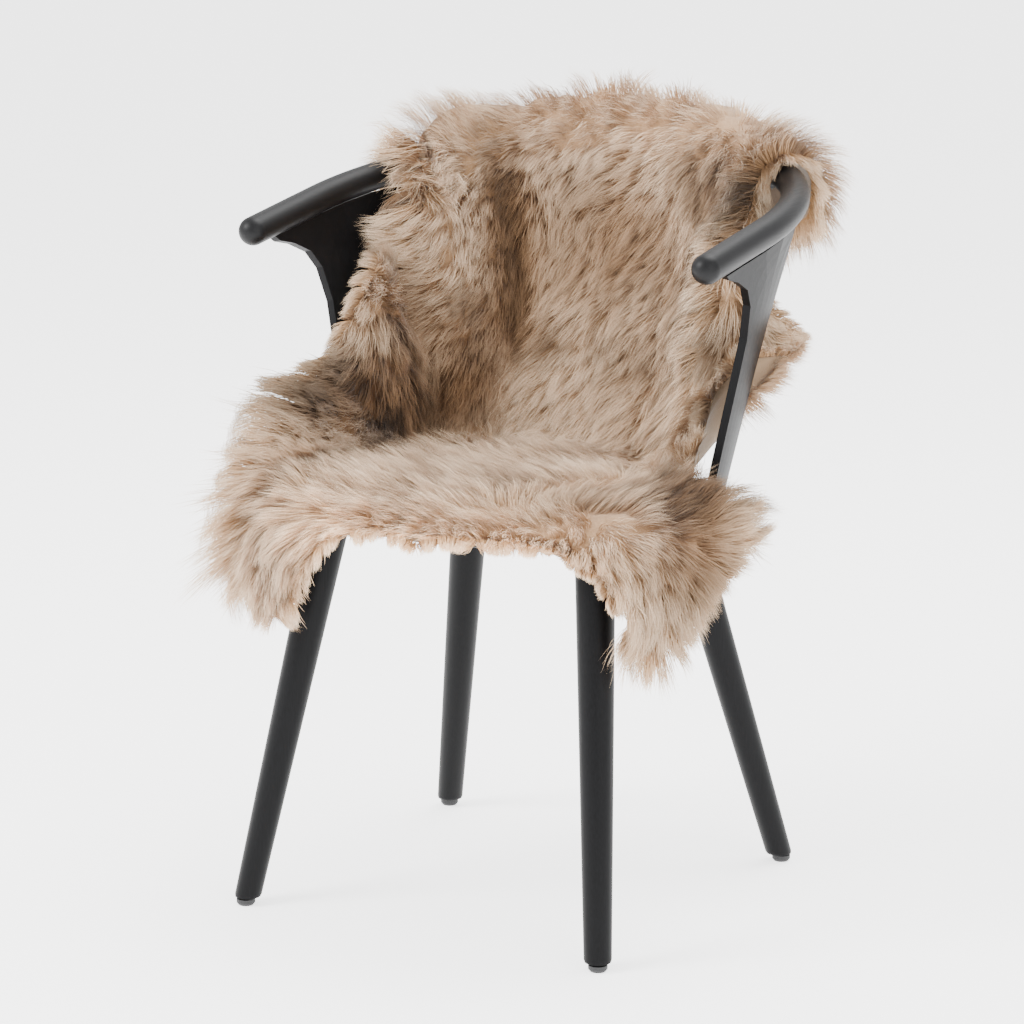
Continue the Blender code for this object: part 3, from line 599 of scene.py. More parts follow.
def wool_material():
    tree, shader, material = new_material("long wool, washed and combed")

    t, tint, shade, dark = (add(tree, "ShaderNodeAttribute", output="Fac", attribute_name=name)
                            for name in ("t", "tint", "shade", "dark"))
    place = add(tree, "ShaderNodeTexCoord", output="Object")
    fine = add(tree, "ShaderNodeTexNoise",
               {"Vector": place, "Scale": STREAKS_PER_METRE, "Detail": 2.0}, "Fac")
    streak = add(tree, "ShaderNodeMapRange", {"Value": fine, "From Min": 0.3, "From Max": 0.7,
                                              "To Min": -STREAK, "To Max": STREAK}, 0)
    along = add(tree, "ShaderNodeMath", {0: t, 1: streak}, 0, operation="ADD")
    ramps = []
    for root, body, tip in WOOL_COLOURS.values():
        ramp = add(tree, "ShaderNodeValToRGB", {"Fac": along})
        stops = ramp.color_ramp.elements
        stops[0].position, stops[0].color = 0.05, linear(root)
        stops[1].position, stops[1].color = 0.92, linear(tip)
        stops.new(0.50).color = linear(body)
        ramps.append(ramp.outputs["Color"])
    mixed = add(tree, "ShaderNodeMix", {0: tint, 6: ramps[0], 7: ramps[1]}, 2, data_type="RGBA")
    shade = add(tree, "ShaderNodeMapRange", {"Value": shade, "To Min": 0.88, "To Max": 1.10}, 0)
    # painted shade from the patches: darker in the hollows, creases and fold, and paler with painted
    # light on the crest, ridge and front tips
    painted_shade_factor = add(tree, "ShaderNodeMapRange",
                 {"Value": dark, "From Min": MOST_PAINTED_LIGHT, "To Max": DEEPEST_PAINTED_SHADE,
                  "To Min": 1.0 - MOST_PAINTED_LIGHT * (1.0 - DEEPEST_PAINTED_SHADE)}, 0)
    # the hair's own random shade times the painted shade
    light = add(tree, "ShaderNodeMath", {0: shade, 1: painted_shade_factor}, 0, operation="MULTIPLY")
    toned = add(tree, "ShaderNodeHueSaturation", {"Value": light, "Color": mixed}, "Color")
    tree.links.new(toned, shader.inputs["Base Color"])
    set_sockets(shader, {"Roughness": 0.65, "IOR": 1.45, "Specular IOR Level": 0.20,
                         "Sheen Weight": 0.20, "Sheen Roughness": 0.45})
    return material


wool = wool_material()

# %% [markdown]
# ## One hair
#
# A real hair is far too thin to model, so each ribbon stands for a wisp of them, about a
# millimetre wide where it leaves the skin and pointed at its end. It is two quads and a
# triangle. Two values on its points, t along it and s across it, tell the node tree where each
# point belongs.

# %% A ribbon with its t and s values
RIBBON_ROWS = (0.0, 0.40, 0.74)


def ribbon_template():
    bm = bmesh.new()
    t_layer = bm.verts.layers.float.new("t")
    s_layer = bm.verts.layers.float.new("s")
    rows = []
    for t in RIBBON_ROWS:
        pair = []
        for s in (-1.0, 1.0):
            vert = bm.verts.new((s, t, 0.0))
            vert[t_layer], vert[s_layer] = t, s
            pair.append(vert)
        rows.append(pair)
    tip = bm.verts.new((0.0, 1.0, 0.0))
    tip[t_layer] = 1.0
    for lower, upper in zip(rows, rows[1:]):
        bm.faces.new((lower[0], lower[1], upper[1], upper[0]))
    bm.faces.new((rows[-1][0], rows[-1][1], tip))
    mesh = mesh_from(bm, "hair")
    mesh.shade_smooth()
    return mesh_object("hair", mesh)


hair = ribbon_template()

# %% [markdown]
# ## The tree that grows the wool
#
# Wool doesn't grow evenly: neighbouring hairs cling together into locks that end in a point. So
# the tree scatters two sets of points on the hide. The sparse set holds the tips of the locks.
# Each point of the dense set is a hair, which looks up its nearest lock and leans most of the way
# to that lock's tip. A hair is a quadratic Bezier curve from its root, up through the pile, and
# over to its tip, with a slight wave. Particle hair could do this too, but it isn't mesh, and the
# model that leaves Blender has to be.

# %% Geometry Nodes: wool
MATHS, VECTORS, MIX = "ShaderNodeMath", "ShaderNodeVectorMath", "ShaderNodeMix"
CHANCE, SCATTER = "FunctionNodeRandomValue", "GeometryNodeDistributePointsOnFaces"
NAMED, STORE = "GeometryNodeInputNamedAttribute", "GeometryNodeStoreNamedAttribute"
RISES, SWEEPS = (0.80, 1.10), (0.70, 1.15)  # the least and the most, as shares of a hair's own
STRAY_LOCK, STRAY_HAIR = 0.30, 0.28
HOLDS, ROLLS, GIRTHS = (0.45, 1.30), (-0.55, 0.55), (0.65, 1.25)
KNEE_UP, KNEE_OVER = 0.86, 0.24  # where a hair bends over, as shares of its rise and its sweep
LOCKS_IN_SPACING = 1.15  # locks on a square as wide as their spacing
OWN_SHADE, LOCK_SHADE = 0.55, 0.45
TAPER, TAPER_POWER = 0.85, 1.7
WAVE_TURN = 5.5  # radians of wave along a hair


def wool_tree():
    tree = bpy.data.node_groups.new("grow wool", "GeometryNodeTree")
    face = tree.interface
    face.new_socket("Geometry", in_out="OUTPUT", socket_type="NodeSocketGeometry")
    face.new_socket("Geometry", in_out="INPUT", socket_type="NodeSocketGeometry")
    for name, kind, default in (
        ("Hairs per square metre", "NodeSocketFloat", 150000.0),
        ("Lock spacing", "NodeSocketFloat", LOCK_SPACING),
        ("Hair width", "NodeSocketFloat", HAIR_WIDTH),
        ("Clinging", "NodeSocketFloat", 0.58),
        ("Wave", "NodeSocketFloat", 0.0024),
        ("Seed", "NodeSocketInt", 0),
        ("Hair", "NodeSocketObject", None),
        ("Wool", "NodeSocketMaterial", None),
    ):
        socket = face.new_socket(name, in_out="INPUT", socket_type=kind)
        if default is not None:
            socket.default_value = default
    given = add(tree, "NodeGroupInput").outputs

    position = add(tree, "GeometryNodeInputPosition", output=0)
    depth, long = (add(tree, NAMED, {"Name": name}, "Attribute", data_type="FLOAT")
                   for name in ("depth", "sweep"))
    comb = add(tree, NAMED, {"Name": "comb"}, "Attribute", data_type="FLOAT_VECTOR")

    def tip_of(points, stray, seed):
        """Rise through the pile, and rise plus sweep along the comb, from the point's values."""
        up = add(tree, VECTORS, {0: points.outputs["Normal"], "Scale": depth}, 0, operation="SCALE")
        tall = add(tree, CHANCE, {2: RISES[0], 3: RISES[1], "Seed": seed}, 1, data_type="FLOAT")
        rise = add(tree, VECTORS, {0: up, "Scale": tall}, 0, operation="SCALE")
        aside = add(tree, CHANCE, {0: (-1, -1, -1), 1: (1, 1, 1), "Seed": seed}, 0,
                    data_type="FLOAT_VECTOR")
        aside = add(tree, VECTORS, {0: aside, "Scale": stray}, 0, operation="SCALE")
        lie = add(tree, VECTORS, {0: comb, 1: aside}, 0, operation="ADD")
        later = add(tree, MATHS, {0: seed, 1: 5}, 0, operation="ADD")
        far = add(tree, CHANCE, {2: SWEEPS[0], 3: SWEEPS[1], "Seed": later}, 1, data_type="FLOAT")
        far = add(tree, MATHS, {0: long, 1: far}, 0, operation="MULTIPLY")
        over = add(tree, VECTORS, {0: lie, "Scale": far}, 0, operation="SCALE")
        return rise, add(tree, VECTORS, {0: rise, 1: over}, 0, operation="ADD")

    # the locks, and what each hair reads from the lock nearest to it
    spacing = given["Lock spacing"]
    square = add(tree, MATHS, {0: spacing, 1: spacing}, 0, operation="MULTIPLY")
    packing = add(tree, MATHS, {0: LOCKS_IN_SPACING, 1: square}, 0, operation="DIVIDE")
    locks = add(tree, SCATTER,
                {"Mesh": given["Geometry"], "Density": packing, "Seed": given["Seed"]})
    lock_seed = add(tree, MATHS, {0: given["Seed"], 1: 11}, 0, operation="ADD")
    _, lock_vector = tip_of(locks, STRAY_LOCK, lock_seed)
    lock_values = {
        "lock_tip": ("FLOAT_VECTOR", add(tree, VECTORS, {0: position, 1: lock_vector}, 0,
                                         operation="ADD")),
        "lock_shade": ("FLOAT", add(tree, CHANCE, {2: 0.0, 3: 1.0, "Seed": 23}, 1,
                                    data_type="FLOAT")),
    }
    lock_points = locks.outputs["Points"]
    for name, (kind, value) in lock_values.items():
        lock_points = add(tree, STORE, {"Geometry": lock_points, "Name": name, "Value": value},
                          "Geometry", data_type=kind, domain="POINT")
    nearest = add(tree, "GeometryNodeSampleNearest",
                  {"Geometry": lock_points, "Sample Position": position}, 0, domain="POINT")
    of_lock = {}
    for name, (kind, _) in lock_values.items():
        value = add(tree, NAMED, {"Name": name}, "Attribute", data_type=kind)
        of_lock[name] = add(tree, "GeometryNodeSampleIndex",
                            {"Geometry": lock_points, "Index": nearest, "Value": value},
                            "Value", data_type=kind, domain="POINT")

    # the hairs: root, knee and tip
    hair_seed = add(tree, MATHS, {0: given["Seed"], 1: 1}, 0, operation="ADD")
    hairs = add(tree, SCATTER, {"Mesh": given["Geometry"], "Seed": hair_seed,
                                "Density": given["Hairs per square metre"]})
    rise, own_vector = tip_of(hairs, STRAY_HAIR, 31)
    own_tip = add(tree, VECTORS, {0: position, 1: own_vector}, 0, operation="ADD")
    hold = add(tree, CHANCE, {2: HOLDS[0], 3: HOLDS[1], "Seed": 37}, 1, data_type="FLOAT")
    hold = add(tree, MATHS, {0: given["Clinging"], 1: hold}, 0, operation="MULTIPLY")
    tip = add(tree, MIX, {0: hold, 4: own_tip, 5: of_lock["lock_tip"]}, 1, data_type="VECTOR")
    top = add(tree, VECTORS, {0: position, 1: rise}, 0, operation="ADD")
    sweep = add(tree, VECTORS, {0: tip, 1: top}, 0, operation="SUBTRACT")
    part_up = add(tree, VECTORS, {0: rise, "Scale": KNEE_UP}, 0, operation="SCALE")
    part_over = add(tree, VECTORS, {0: sweep, "Scale": KNEE_OVER}, 0, operation="SCALE")
    bend = add(tree, VECTORS, {0: part_up, 1: part_over}, 0, operation="ADD")
    knee = add(tree, VECTORS, {0: position, 1: bend}, 0, operation="ADD")
    normal = hairs.outputs["Normal"]
    across = add(tree, VECTORS, {0: normal, 1: comb}, 0, operation="CROSS_PRODUCT")
    across = add(tree, VECTORS, {0: across}, 0, operation="NORMALIZE")
    roll = add(tree, CHANCE, {2: ROLLS[0], 3: ROLLS[1], "Seed": 41}, 1, data_type="FLOAT")
    roll = add(tree, VECTORS, {0: normal, "Scale": roll}, 0, operation="SCALE")
    side = add(tree, VECTORS, {0: across, 1: roll}, 0, operation="ADD")
    side = add(tree, VECTORS, {0: side}, 0, operation="NORMALIZE")
    own_shade = add(tree, CHANCE, {2: 0.0, 3: 1.0, "Seed": 43}, 1, data_type="FLOAT")
    own_shade = add(tree, MATHS, {0: own_shade, 1: OWN_SHADE}, 0, operation="MULTIPLY")
    lock_shade = add(tree, MATHS, {0: of_lock["lock_shade"], 1: LOCK_SHADE}, 0,
                     operation="MULTIPLY")
    shade = add(tree, MATHS, {0: own_shade, 1: lock_shade}, 0, operation="ADD")
    phase = add(tree, CHANCE, {2: 0.0, 3: 6.28, "Seed": 47}, 1, data_type="FLOAT")
    girth = add(tree, CHANCE, {2: GIRTHS[0], 3: GIRTHS[1], "Seed": 53}, 1, data_type="FLOAT")
    points = hairs.outputs["Points"]
    for name, kind, value in (("p0", "FLOAT_VECTOR", position), ("p1", "FLOAT_VECTOR", knee),
                              ("p2", "FLOAT_VECTOR", tip), ("side", "FLOAT_VECTOR", side),
                              ("shade", "FLOAT", shade), ("phase", "FLOAT", phase),
                              ("girth", "FLOAT", girth)):
        points = add(tree, STORE, {"Geometry": points, "Name": name, "Value": value},
                     "Geometry", data_type=kind, domain="POINT")

    template = add(tree, "GeometryNodeObjectInfo", {"Object": given["Hair"]}, "Geometry",
                   transform_space="ORIGINAL")
    wisps = add(tree, "GeometryNodeInstanceOnPoints", {"Points": points, "Instance": template}, 0)
    real = add(tree, "GeometryNodeRealizeInstances", {"Geometry": wisps}, 0)

    # each ribbon laid along its curve, wide at the root and waving at the tip
    p0, p1, p2, side = (add(tree, NAMED, {"Name": name}, "Attribute", data_type="FLOAT_VECTOR")
                        for name in ("p0", "p1", "p2", "side"))
    t, s, phase, girth = (add(tree, NAMED, {"Name": name}, "Attribute", data_type="FLOAT")
                          for name in ("t", "s", "phase", "girth"))
    lower = add(tree, MIX, {0: t, 4: p0, 5: p1}, 1, data_type="VECTOR")
    upper = add(tree, MIX, {0: t, 4: p1, 5: p2}, 1, data_type="VECTOR")
    curve = add(tree, MIX, {0: t, 4: lower, 5: upper}, 1, data_type="VECTOR")
    taper = add(tree, MATHS, {0: t, 1: TAPER_POWER}, 0, operation="POWER")
    taper = add(tree, MATHS, {0: taper, 1: TAPER}, 0, operation="MULTIPLY")
    taper = add(tree, MATHS, {0: 1.0, 1: taper}, 0, operation="SUBTRACT")
    half = add(tree, MATHS, {0: given["Hair width"], 1: 0.5}, 0, operation="MULTIPLY")
    width = half
    for factor in (girth, taper, s):
        width = add(tree, MATHS, {0: width, 1: factor}, 0, operation="MULTIPLY")
    swing = add(tree, MATHS, {0: t, 1: WAVE_TURN}, 0, operation="MULTIPLY")
    swing = add(tree, MATHS, {0: swing, 1: phase}, 0, operation="ADD")
    wave = add(tree, MATHS, {0: swing}, 0, operation="SINE")
    for factor in (given["Wave"], t):
        wave = add(tree, MATHS, {0: wave, 1: factor}, 0, operation="MULTIPLY")
    offset = add(tree, MATHS, {0: width, 1: wave}, 0, operation="ADD")
    offset = add(tree, VECTORS, {0: side, "Scale": offset}, 0, operation="SCALE")
    place = add(tree, VECTORS, {0: curve, 1: offset}, 0, operation="ADD")
    geometry = add(tree, "GeometryNodeSetPosition", {"Geometry": real, "Position": place}, 0)
    for spare in ("p0", "p1", "p2", "side", "phase", "girth", "s", "comb", "depth", "sweep"):
        geometry = add(tree, "GeometryNodeRemoveAttribute",
                       {"Geometry": geometry, "Name": spare}, 0)
    painted = add(tree, "GeometryNodeSetMaterial",
                  {"Geometry": geometry, "Material": given["Wool"]}, 0)
    add(tree, "NodeGroupOutput", {"Geometry": painted})
    return tree


grow_wool = wool_tree()


def set_inputs(modifier, values):
    """Sets a node modifier's inputs by the identifiers of their sockets."""
    for item in modifier.node_group.interface.items_tree:
        if item.item_type == "SOCKET" and item.in_out == "INPUT" and item.name in values:
            modifier[item.identifier] = values[item.name]


# %% [markdown]
# ## The wool in regions
#
# One mesh with all the hair would be too heavy to handle, so the hide is cut into regions by
# where its faces are, and each grows its own piece. The locks are looked up within a region, so
# no seam shows between two of them. The hair is densest where the skin is seen most.

# %% Cut the hide into regions and grow each
# name, hairs, hair width
REGIONS = [
    ("wool_seat", 36000, HAIR_WIDTH),
    ("wool_front", 14000, HAIR_WIDTH),
    ("wool_left", 20000, HAIR_WIDTH),
    ("wool_right", 12000, HAIR_WIDTH),
    ("wool_back", 38000, HAIR_WIDTH),
    ("wool_over_rail", 34000, 0.0011),
]


def region_of(centre, normal):
    """The region of one face of the hide, from its place and the side it faces."""
    offset = centre - middle
    angle = math.degrees(math.atan2(offset.y, offset.x)) % 360
    outward = offset.to_2d().normalized()
    if centre.z > rail_high.z - 0.07 or (normal.to_2d().dot(outward) > 0.1 and 40 < angle < 150
                                         and centre.z > seat_top + 0.15):
        return "wool_over_rail"
    if centre.z < seat_top + 0.006 and normal.z > 0.9:
        return "wool_seat"
    if 212 < angle < 350:
        return "wool_front"
    if 145 < angle <= 212:
        return "wool_left"
    if angle < 42 or angle >= 350:
        return "wool_right"
    return "wool_back"


face_region = [region_of(p.center, p.normal) for p in skin.polygons]


def region_mesh(name):
    """The part of the hide in one region, with its values."""
    bm = bmesh.new()
    bm.from_mesh(skin)
    bm.faces.ensure_lookup_table()
    others = [f for f in bm.faces if face_region[f.index] != name]
    bmesh.ops.delete(bm, geom=others, context="FACES")
    return mesh_from(bm, name)


# Wool stands proud of the imported model's box by at most 3% of each side and 10 mm.
PROUD_SHARE, PROUD_MORE = 0.03, 0.010
FREE_SHARE = 0.6  # up to this share of the allowance the wool isn't touched


def pressed_back(mesh):
    """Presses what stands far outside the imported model's box back, softly, inside the allowance."""
    places = [0.0] * (3 * len(mesh.vertices))
    mesh.vertices.foreach_get("co", places)
    for axis in range(3):
        low, high = cad_box[0][axis], cad_box[1][axis]
        most = PROUD_SHARE * (high - low) + PROUD_MORE
        free = FREE_SHARE * most
        room = most - free
        for i in range(axis, len(places), 3):
            proud = max(low - places[i], places[i] - high)
            if proud > free:
                proud = free + room * (1.0 - math.exp((free - proud) / room))
                places[i] = low - proud if places[i] < low else high + proud
    mesh.vertices.foreach_set("co", places)
    mesh.update()


def grow(ground, hairs, hair_width, seed):
    """The finished wool on one ground mesh, as a plain mesh object of the same name."""
    name = ground.name
    area = sum(p.area for p in ground.polygons)
    holder = mesh_object(name + "_ground", ground)
    modifier = holder.modifiers.new("wool", "NODES")
    modifier.node_group = grow_wool
    set_inputs(modifier, {"Hairs per square metre": hairs / area, "Hair width": hair_width,
                          "Seed": seed, "Hair": hair, "Wool": wool})
    mesh = finished_mesh(holder)
    bpy.data.objects.remove(holder)
    pressed_back(mesh)
    triangles = sum(len(p.vertices) - 2 for p in mesh.polygons)
    print(f"{name}: {area:.3f} square metres, {triangles} triangles")
    piece = mesh_object(name, mesh)
    mesh.name = name
    return piece


wool_pieces = []
for number, (name, hairs, hair_width) in enumerate(REGIONS):
    wool_pieces.append(grow(region_mesh(name), hairs, hair_width, 100 * number))

# %% [markdown]
# ## The wool at the cut edge
#
# At the edge of a skin the wool fans out and turns over, so the cut leather doesn't show. A
# narrow band stands on the edge and faces outwards, and the same tree grows wool from it. Where
# the edge points up the wool falls back over it; at the sides it hangs.

# %% Rim band and its wool
BAND_HEIGHT = 0.009
BAND_DEPTH = 0.022
RIM_HAIRS, RIM_SEED = 24000, 700
SHORTEST_BAND = 0.009
BAND_TURN_BACK, TURNS_BACK_ABOVE = 0.6, -0.45  # wool on an edge that points up falls back over it
NEAR_CHAIR, OFF_CHAIR = 0.03, 0.3  # wool this near to the chair is combed away from it
BAND_FLOW, BAND_SWEEP = 0.4, 0.85
FRIZZ_PER_METRE, FRIZZ = 30.0, 0.5
BAND_LUMPS_PER_METRE, BAND_LUMP = 40.0, 0.3


def rim_band():
    """A strip that stands on the cut edge and faces outwards, with its values."""
    source = bmesh.new()
    source.from_mesh(skin)
    source.normal_update()
    band = bmesh.new()
    made, rows = {}, []

    def corner(vert, height):
        key = (vert.index, height)
        if key not in made:
            made[key] = band.verts.new(vert.co + vert.normal * height)
            out = rim[rim_tree.find(vert.co)[1]][1]
            length, fall = fall_at(vert.co)
            over = -vert.normal * BAND_TURN_BACK * max(out.z - TURNS_BACK_ABOVE, 0.0)
            start = vert.co + out * BAND_DEPTH * 0.5
            if chair_tree.ray_cast(start, -vert.normal, NEAR_CHAIR)[0]:
                over = vert.normal * OFF_CHAIR
            way = Vector((0.0, 0.0, -fall)) + over + flow_at(vert.co) * BAND_FLOW
            way += noise.noise_vector(vert.co * FRIZZ_PER_METRE) * FRIZZ
            way -= out * way.dot(out)
            way.normalize()
            depth = BAND_DEPTH * length * (1.8 - 0.8 * min(fall, 1.0))
            lump = noise.noise(vert.co * BAND_LUMPS_PER_METRE)
            depth = max(depth, SHORTEST_BAND) * (1 + BAND_LUMP * lump)
            depth = laid_clear(vert.co + vert.normal * 0.004, out, depth)[1]
            sweep = math.sqrt(WOOL_LENGTH**2 - BAND_DEPTH**2) * BAND_SWEEP * length
            way, sweep = laid_clear(start, way, sweep)
            values = wool_values(vert.co, vert.normal)
            values.update(depth=depth, sweep=sweep, comb=way)
            rows.append(values)
        return made[key]

    for edge in source.edges:
        if edge.is_boundary:
            loop = edge.link_loops[0]
            one, two = loop.vert, loop.link_loop_next.vert
            band.faces.new((corner(two, 0.0), corner(one, 0.0),
                            corner(one, BAND_HEIGHT), corner(two, BAND_HEIGHT)))
    source.free()
    mesh = mesh_from(band, "wool_rim")
    keep_values(mesh, rows)
    centre = mesh.polygons[0].center
    out = rim[rim_tree.find(centre)[1]][1]
    if mesh.polygons[0].normal.dot(out) < 0:
        mesh.flip_normals()
    return mesh


wool_rim = grow(rim_band(), RIM_HAIRS, HAIR_WIDTH, RIM_SEED)
wool_pieces.append(wool_rim)
bpy.data.objects.remove(hair)

# %% [markdown]
# ## The undercoat
#
# Between the long hairs a sheepskin has short dense wool that hides the skin. Here it is one
# closed, lumpy body, a little over half as deep as the pile and thinner towards the rim, in the
# colour that the hair has low down, with painted shade on its top as it lies deep among the
# hairs. It also keeps daylight from showing through the locks.

# %% Undercoat
LUMPS_PER_METRE, LUMP_HEIGHT = 55.0, 0.3
UNDERCOAT_INSET = 0.012
THINNED_AT_RIM = 0.75
UNDERCOAT_T = UNDERCOAT_SHADE = 0.40  # it is coloured as a hair is at this share of its length
# painted shade: the least that the undercoat's top is darkened, as it lies low among the hairs
UNDERCOAT_PAINTED_SHADE = 0.22


def undercoat():
    bm = bmesh.new()
    bm.from_mesh(coarse_skin)
    at_rim = [f for f in bm.faces if rim_tree.find(f.calc_center_median())[2] < UNDERCOAT_INSET]
    bmesh.ops.delete(bm, geom=at_rim, context="FACES")
    bm.normal_update()
    t_layer = bm.verts.layers.float.new("t")
    shade_layer = bm.verts.layers.float.new("shade")
    depth_layer = bm.verts.layers.float["depth"]
    painted_shade_layer = bm.verts.layers.float["dark"]
    lower = list(bm.verts)
    normals = {v: v.normal.copy() for v in lower}
    under_faces = list(bm.faces)
    rim_edges = [tuple(e.verts) for e in bm.edges if e.is_boundary]
    upper = {}
    for vert in lower:
        lump = 1.0 + LUMP_HEIGHT * noise.noise(vert.co * LUMPS_PER_METRE)
        near_rim = math.exp(-((rim_tree.find(vert.co)[2] / TRIMMED_RIM) ** 2))
        thinned = 1.0 - THINNED_AT_RIM * near_rim
        rise = max(vert[depth_layer] * UNDERCOAT_SHARE * lump * thinned, HIDE_THICKNESS + 0.002)
        top = bm.verts.new(vert.co + normals[vert] * rise, vert)
        top[t_layer], top[shade_layer] = UNDERCOAT_T, UNDERCOAT_SHADE
        # painted shade on the top: the patches' own, and never less than the undercoat's least
        top[painted_shade_layer] = max(vert[painted_shade_layer], UNDERCOAT_PAINTED_SHADE)
        upper[vert] = top
    for vert in lower:
        vert.co += normals[vert] * HIDE_THICKNESS * 0.5
    for face in under_faces:
        bm.faces.new([upper[v] for v in face.verts])
        face.normal_flip()
    for one, two in rim_edges:
        bm.faces.new((one, two, upper[two], upper[one]))
    bmesh.ops.recalc_face_normals(bm, faces=bm.faces)
    mesh = mesh_from(bm, "wool_undercoat")
    mesh.shade_smooth()
    mesh.materials.append(wool)
    return mesh_object("wool_undercoat", mesh)


undercoat_piece = undercoat()

# %% [markdown]
# ## The hide
#
# The tanned side of a brown sheepskin is soft tan suede, matte, with a fine nap and faint creases.
# It shows from behind and from below. It is a sheet of 1.8 mm made with Solidify, which grows
# towards the wool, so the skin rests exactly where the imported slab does.

# %% Hide
def suede_material():
    tree, shader, material = new_material("suede, tanned sheep hide")
    place = add(tree, "ShaderNodeTexCoord", output="Object")
    cloudy, nap, crease = (
        add(tree, "ShaderNodeTexNoise",
            {"Vector": place, "Scale": per_metre, "Detail": detail}, "Fac")
        for per_metre, detail in ((14.0, 4.0), (900.0, 3.0), (60.0, 5.0)))
    relief = add(tree, "ShaderNodeMath", {0: nap, 1: crease}, 0, operation="ADD")
    patterned(tree, shader, cloudy, {0.35: "#6f5a43", 0.70: "#8a7258"}, relief, 0.35, 0.0012)
    set_sockets(shader, {"Roughness": 0.88, "Sheen Weight": 0.3})
    return material


hide = mesh_object("hide", coarse_skin)
hide.data.name = "hide"
thicken = hide.modifiers.new("thickness", "SOLIDIFY")
thicken.thickness = HIDE_THICKNESS
thicken.offset = 1.0
hide.data.materials.clear()
hide.data.materials.append(suede_material())
hide.data.shade_smooth()
hide_solid = finished_mesh(hide)
hide.modifiers.clear()
hide.data = hide_solid
hide_solid.name = "hide"

# %% [markdown]
# ## The chair's finish
#
# The chair is beech and ash veneer under a black stain and a satin lacquer. The stain sinks into
# the grain, so the pores read as slightly lighter or darker lines along the wood, and the lacquer
# gives broad soft highlights. The grain is Noise stretched along the piece: about 1 mm across and
# 60 mm along. The rail's grain follows its arms, and the legs' and panels' stands upright.

# %% Black-stained wood and nylon
GRAIN_ACROSS, GRAIN_ALONG = 0.0011, 0.060


def stained_wood(name, along, gloss):
    """Black-stained wood whose grain runs along one axis, given as 0, 1 or 2."""
    tree, shader, material = new_material(name)
    scale = [1 / GRAIN_ACROSS] * 3
    scale[along] = 1 / GRAIN_ALONG
    place = add(tree, "ShaderNodeTexCoord", output="Object")
    stretched = add(tree, "ShaderNodeMapping", {"Vector": place, "Scale": scale}, 0)
    grain = add(tree, "ShaderNodeTexNoise",
                {"Vector": stretched, "Scale": 1.0, "Detail": 3.0}, "Fac")
    patterned(tree, shader, grain, {0.30: "#050506", 0.75: "#0d0d0f"}, grain, 0.25, 0.0003)
    rough = add(tree, "ShaderNodeMapRange", {"Value": grain, "To Min": 0.38, "To Max": 0.54}, 0)
    tree.links.new(rough, shader.inputs["Roughness"])
    set_sockets(shader, {"IOR": 1.5, "Specular IOR Level": gloss})
    return material


def nylon_material():
    """Injection-moulded nylon: dark, matte, with a fine spark-eroded texture."""
    tree, shader, material = new_material("nylon, moulded, black")
    place = add(tree, "ShaderNodeTexCoord", output="Object")
    fine = add(tree, "ShaderNodeTexNoise", {"Vector": place, "Scale": 1400.0, "Detail": 2.0}, "Fac")
    patterned(tree, shader, fine, {0.0: "#151516", 1.0: "#242426"}, fine, 0.3, 0.0002)
    set_sockets(shader, {"Roughness": 0.58})
    return material


upright_wood = stained_wood("black-stained ash, grain upright", 2, 0.11)
deep_wood = stained_wood("black-stained ash, grain front to back", 1, 0.20)
nylon = nylon_material()


def finish_for(name):
    if name.startswith("glide"):
        return nylon
    return deep_wood if name in ("seat", "rail") else upright_wood


for name, node in nodes.items():
    if name == "seat" or name.startswith(("panel", "glide")):
        node.data.materials.clear()
        node.data.materials.append(finish_for(name))

# %% [markdown]
# ## Round legs and a round rail
#
# On the real chair the legs are turned on a lathe and the rail is a round rod, bent in a steam
# press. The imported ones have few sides, and their facets show in a soft highlight, so these five
# nodes are replaced. A leg is read ring by ring from its node and turned again with more sides.
# The rail is swept: a Geometry Nodes tree sets a circle along its line, with the girth of each
# point for the half-round ends.

# %% Turned legs
ROUND_SIDES = 48


def turned_leg(name):
    """The node's own rings, each with more sides, joined into one closed leg."""
    levels = {}
    for vert in nodes[name].data.vertices:
        levels.setdefault(round(vert.co.z, 4), []).append(vert.co)
    bm = bmesh.new()
    rings = []
    for height in sorted(levels):
        xs, ys = [p.x for p in levels[height]], [p.y for p in levels[height]]
        centre = Vector(((min(xs) + max(xs)) / 2, (min(ys) + max(ys)) / 2, height))
        radius = max((p - centre).xy.length for p in levels[height])
        ring = []
        for side in range(ROUND_SIDES):
            a = math.tau * side / ROUND_SIDES
            ring.append(bm.verts.new(centre + Vector((math.cos(a), math.sin(a), 0.0)) * radius))
        rings.append(ring)
    for lower, upper in zip(rings, rings[1:]):
        for i in range(ROUND_SIDES):
            j = (i + 1) % ROUND_SIDES
            bm.faces.new((lower[i], lower[j], upper[j], upper[i]))
    bm.faces.new(rings[0][::-1])
    bm.faces.new(rings[-1])
    mesh = mesh_from(bm, name + "_turned")
    mesh.shade_smooth()
    mesh.set_sharp_from_angle(angle=math.radians(40))
    mesh.materials.append(upright_wood)
    return mesh_object(name + "_turned", mesh)


chair_pieces = {name: turned_leg(name) for name in nodes if name.startswith("leg")}
print("turned legs:", len(chair_pieces), "with", ROUND_SIDES, "sides")

# %% The bent rail, swept
ARM_HALF_WIDTH = 0.2736
ARM_END_Y, BEND_START_Y, BEND_DEPTH = -0.0976, 0.029, 0.2776
BEND_SQUARENESS = 0.8
ARM_END_HEIGHT, RAIL_SLOPE = 0.7158, 0.1576
ROD_RADIUS = 0.0157


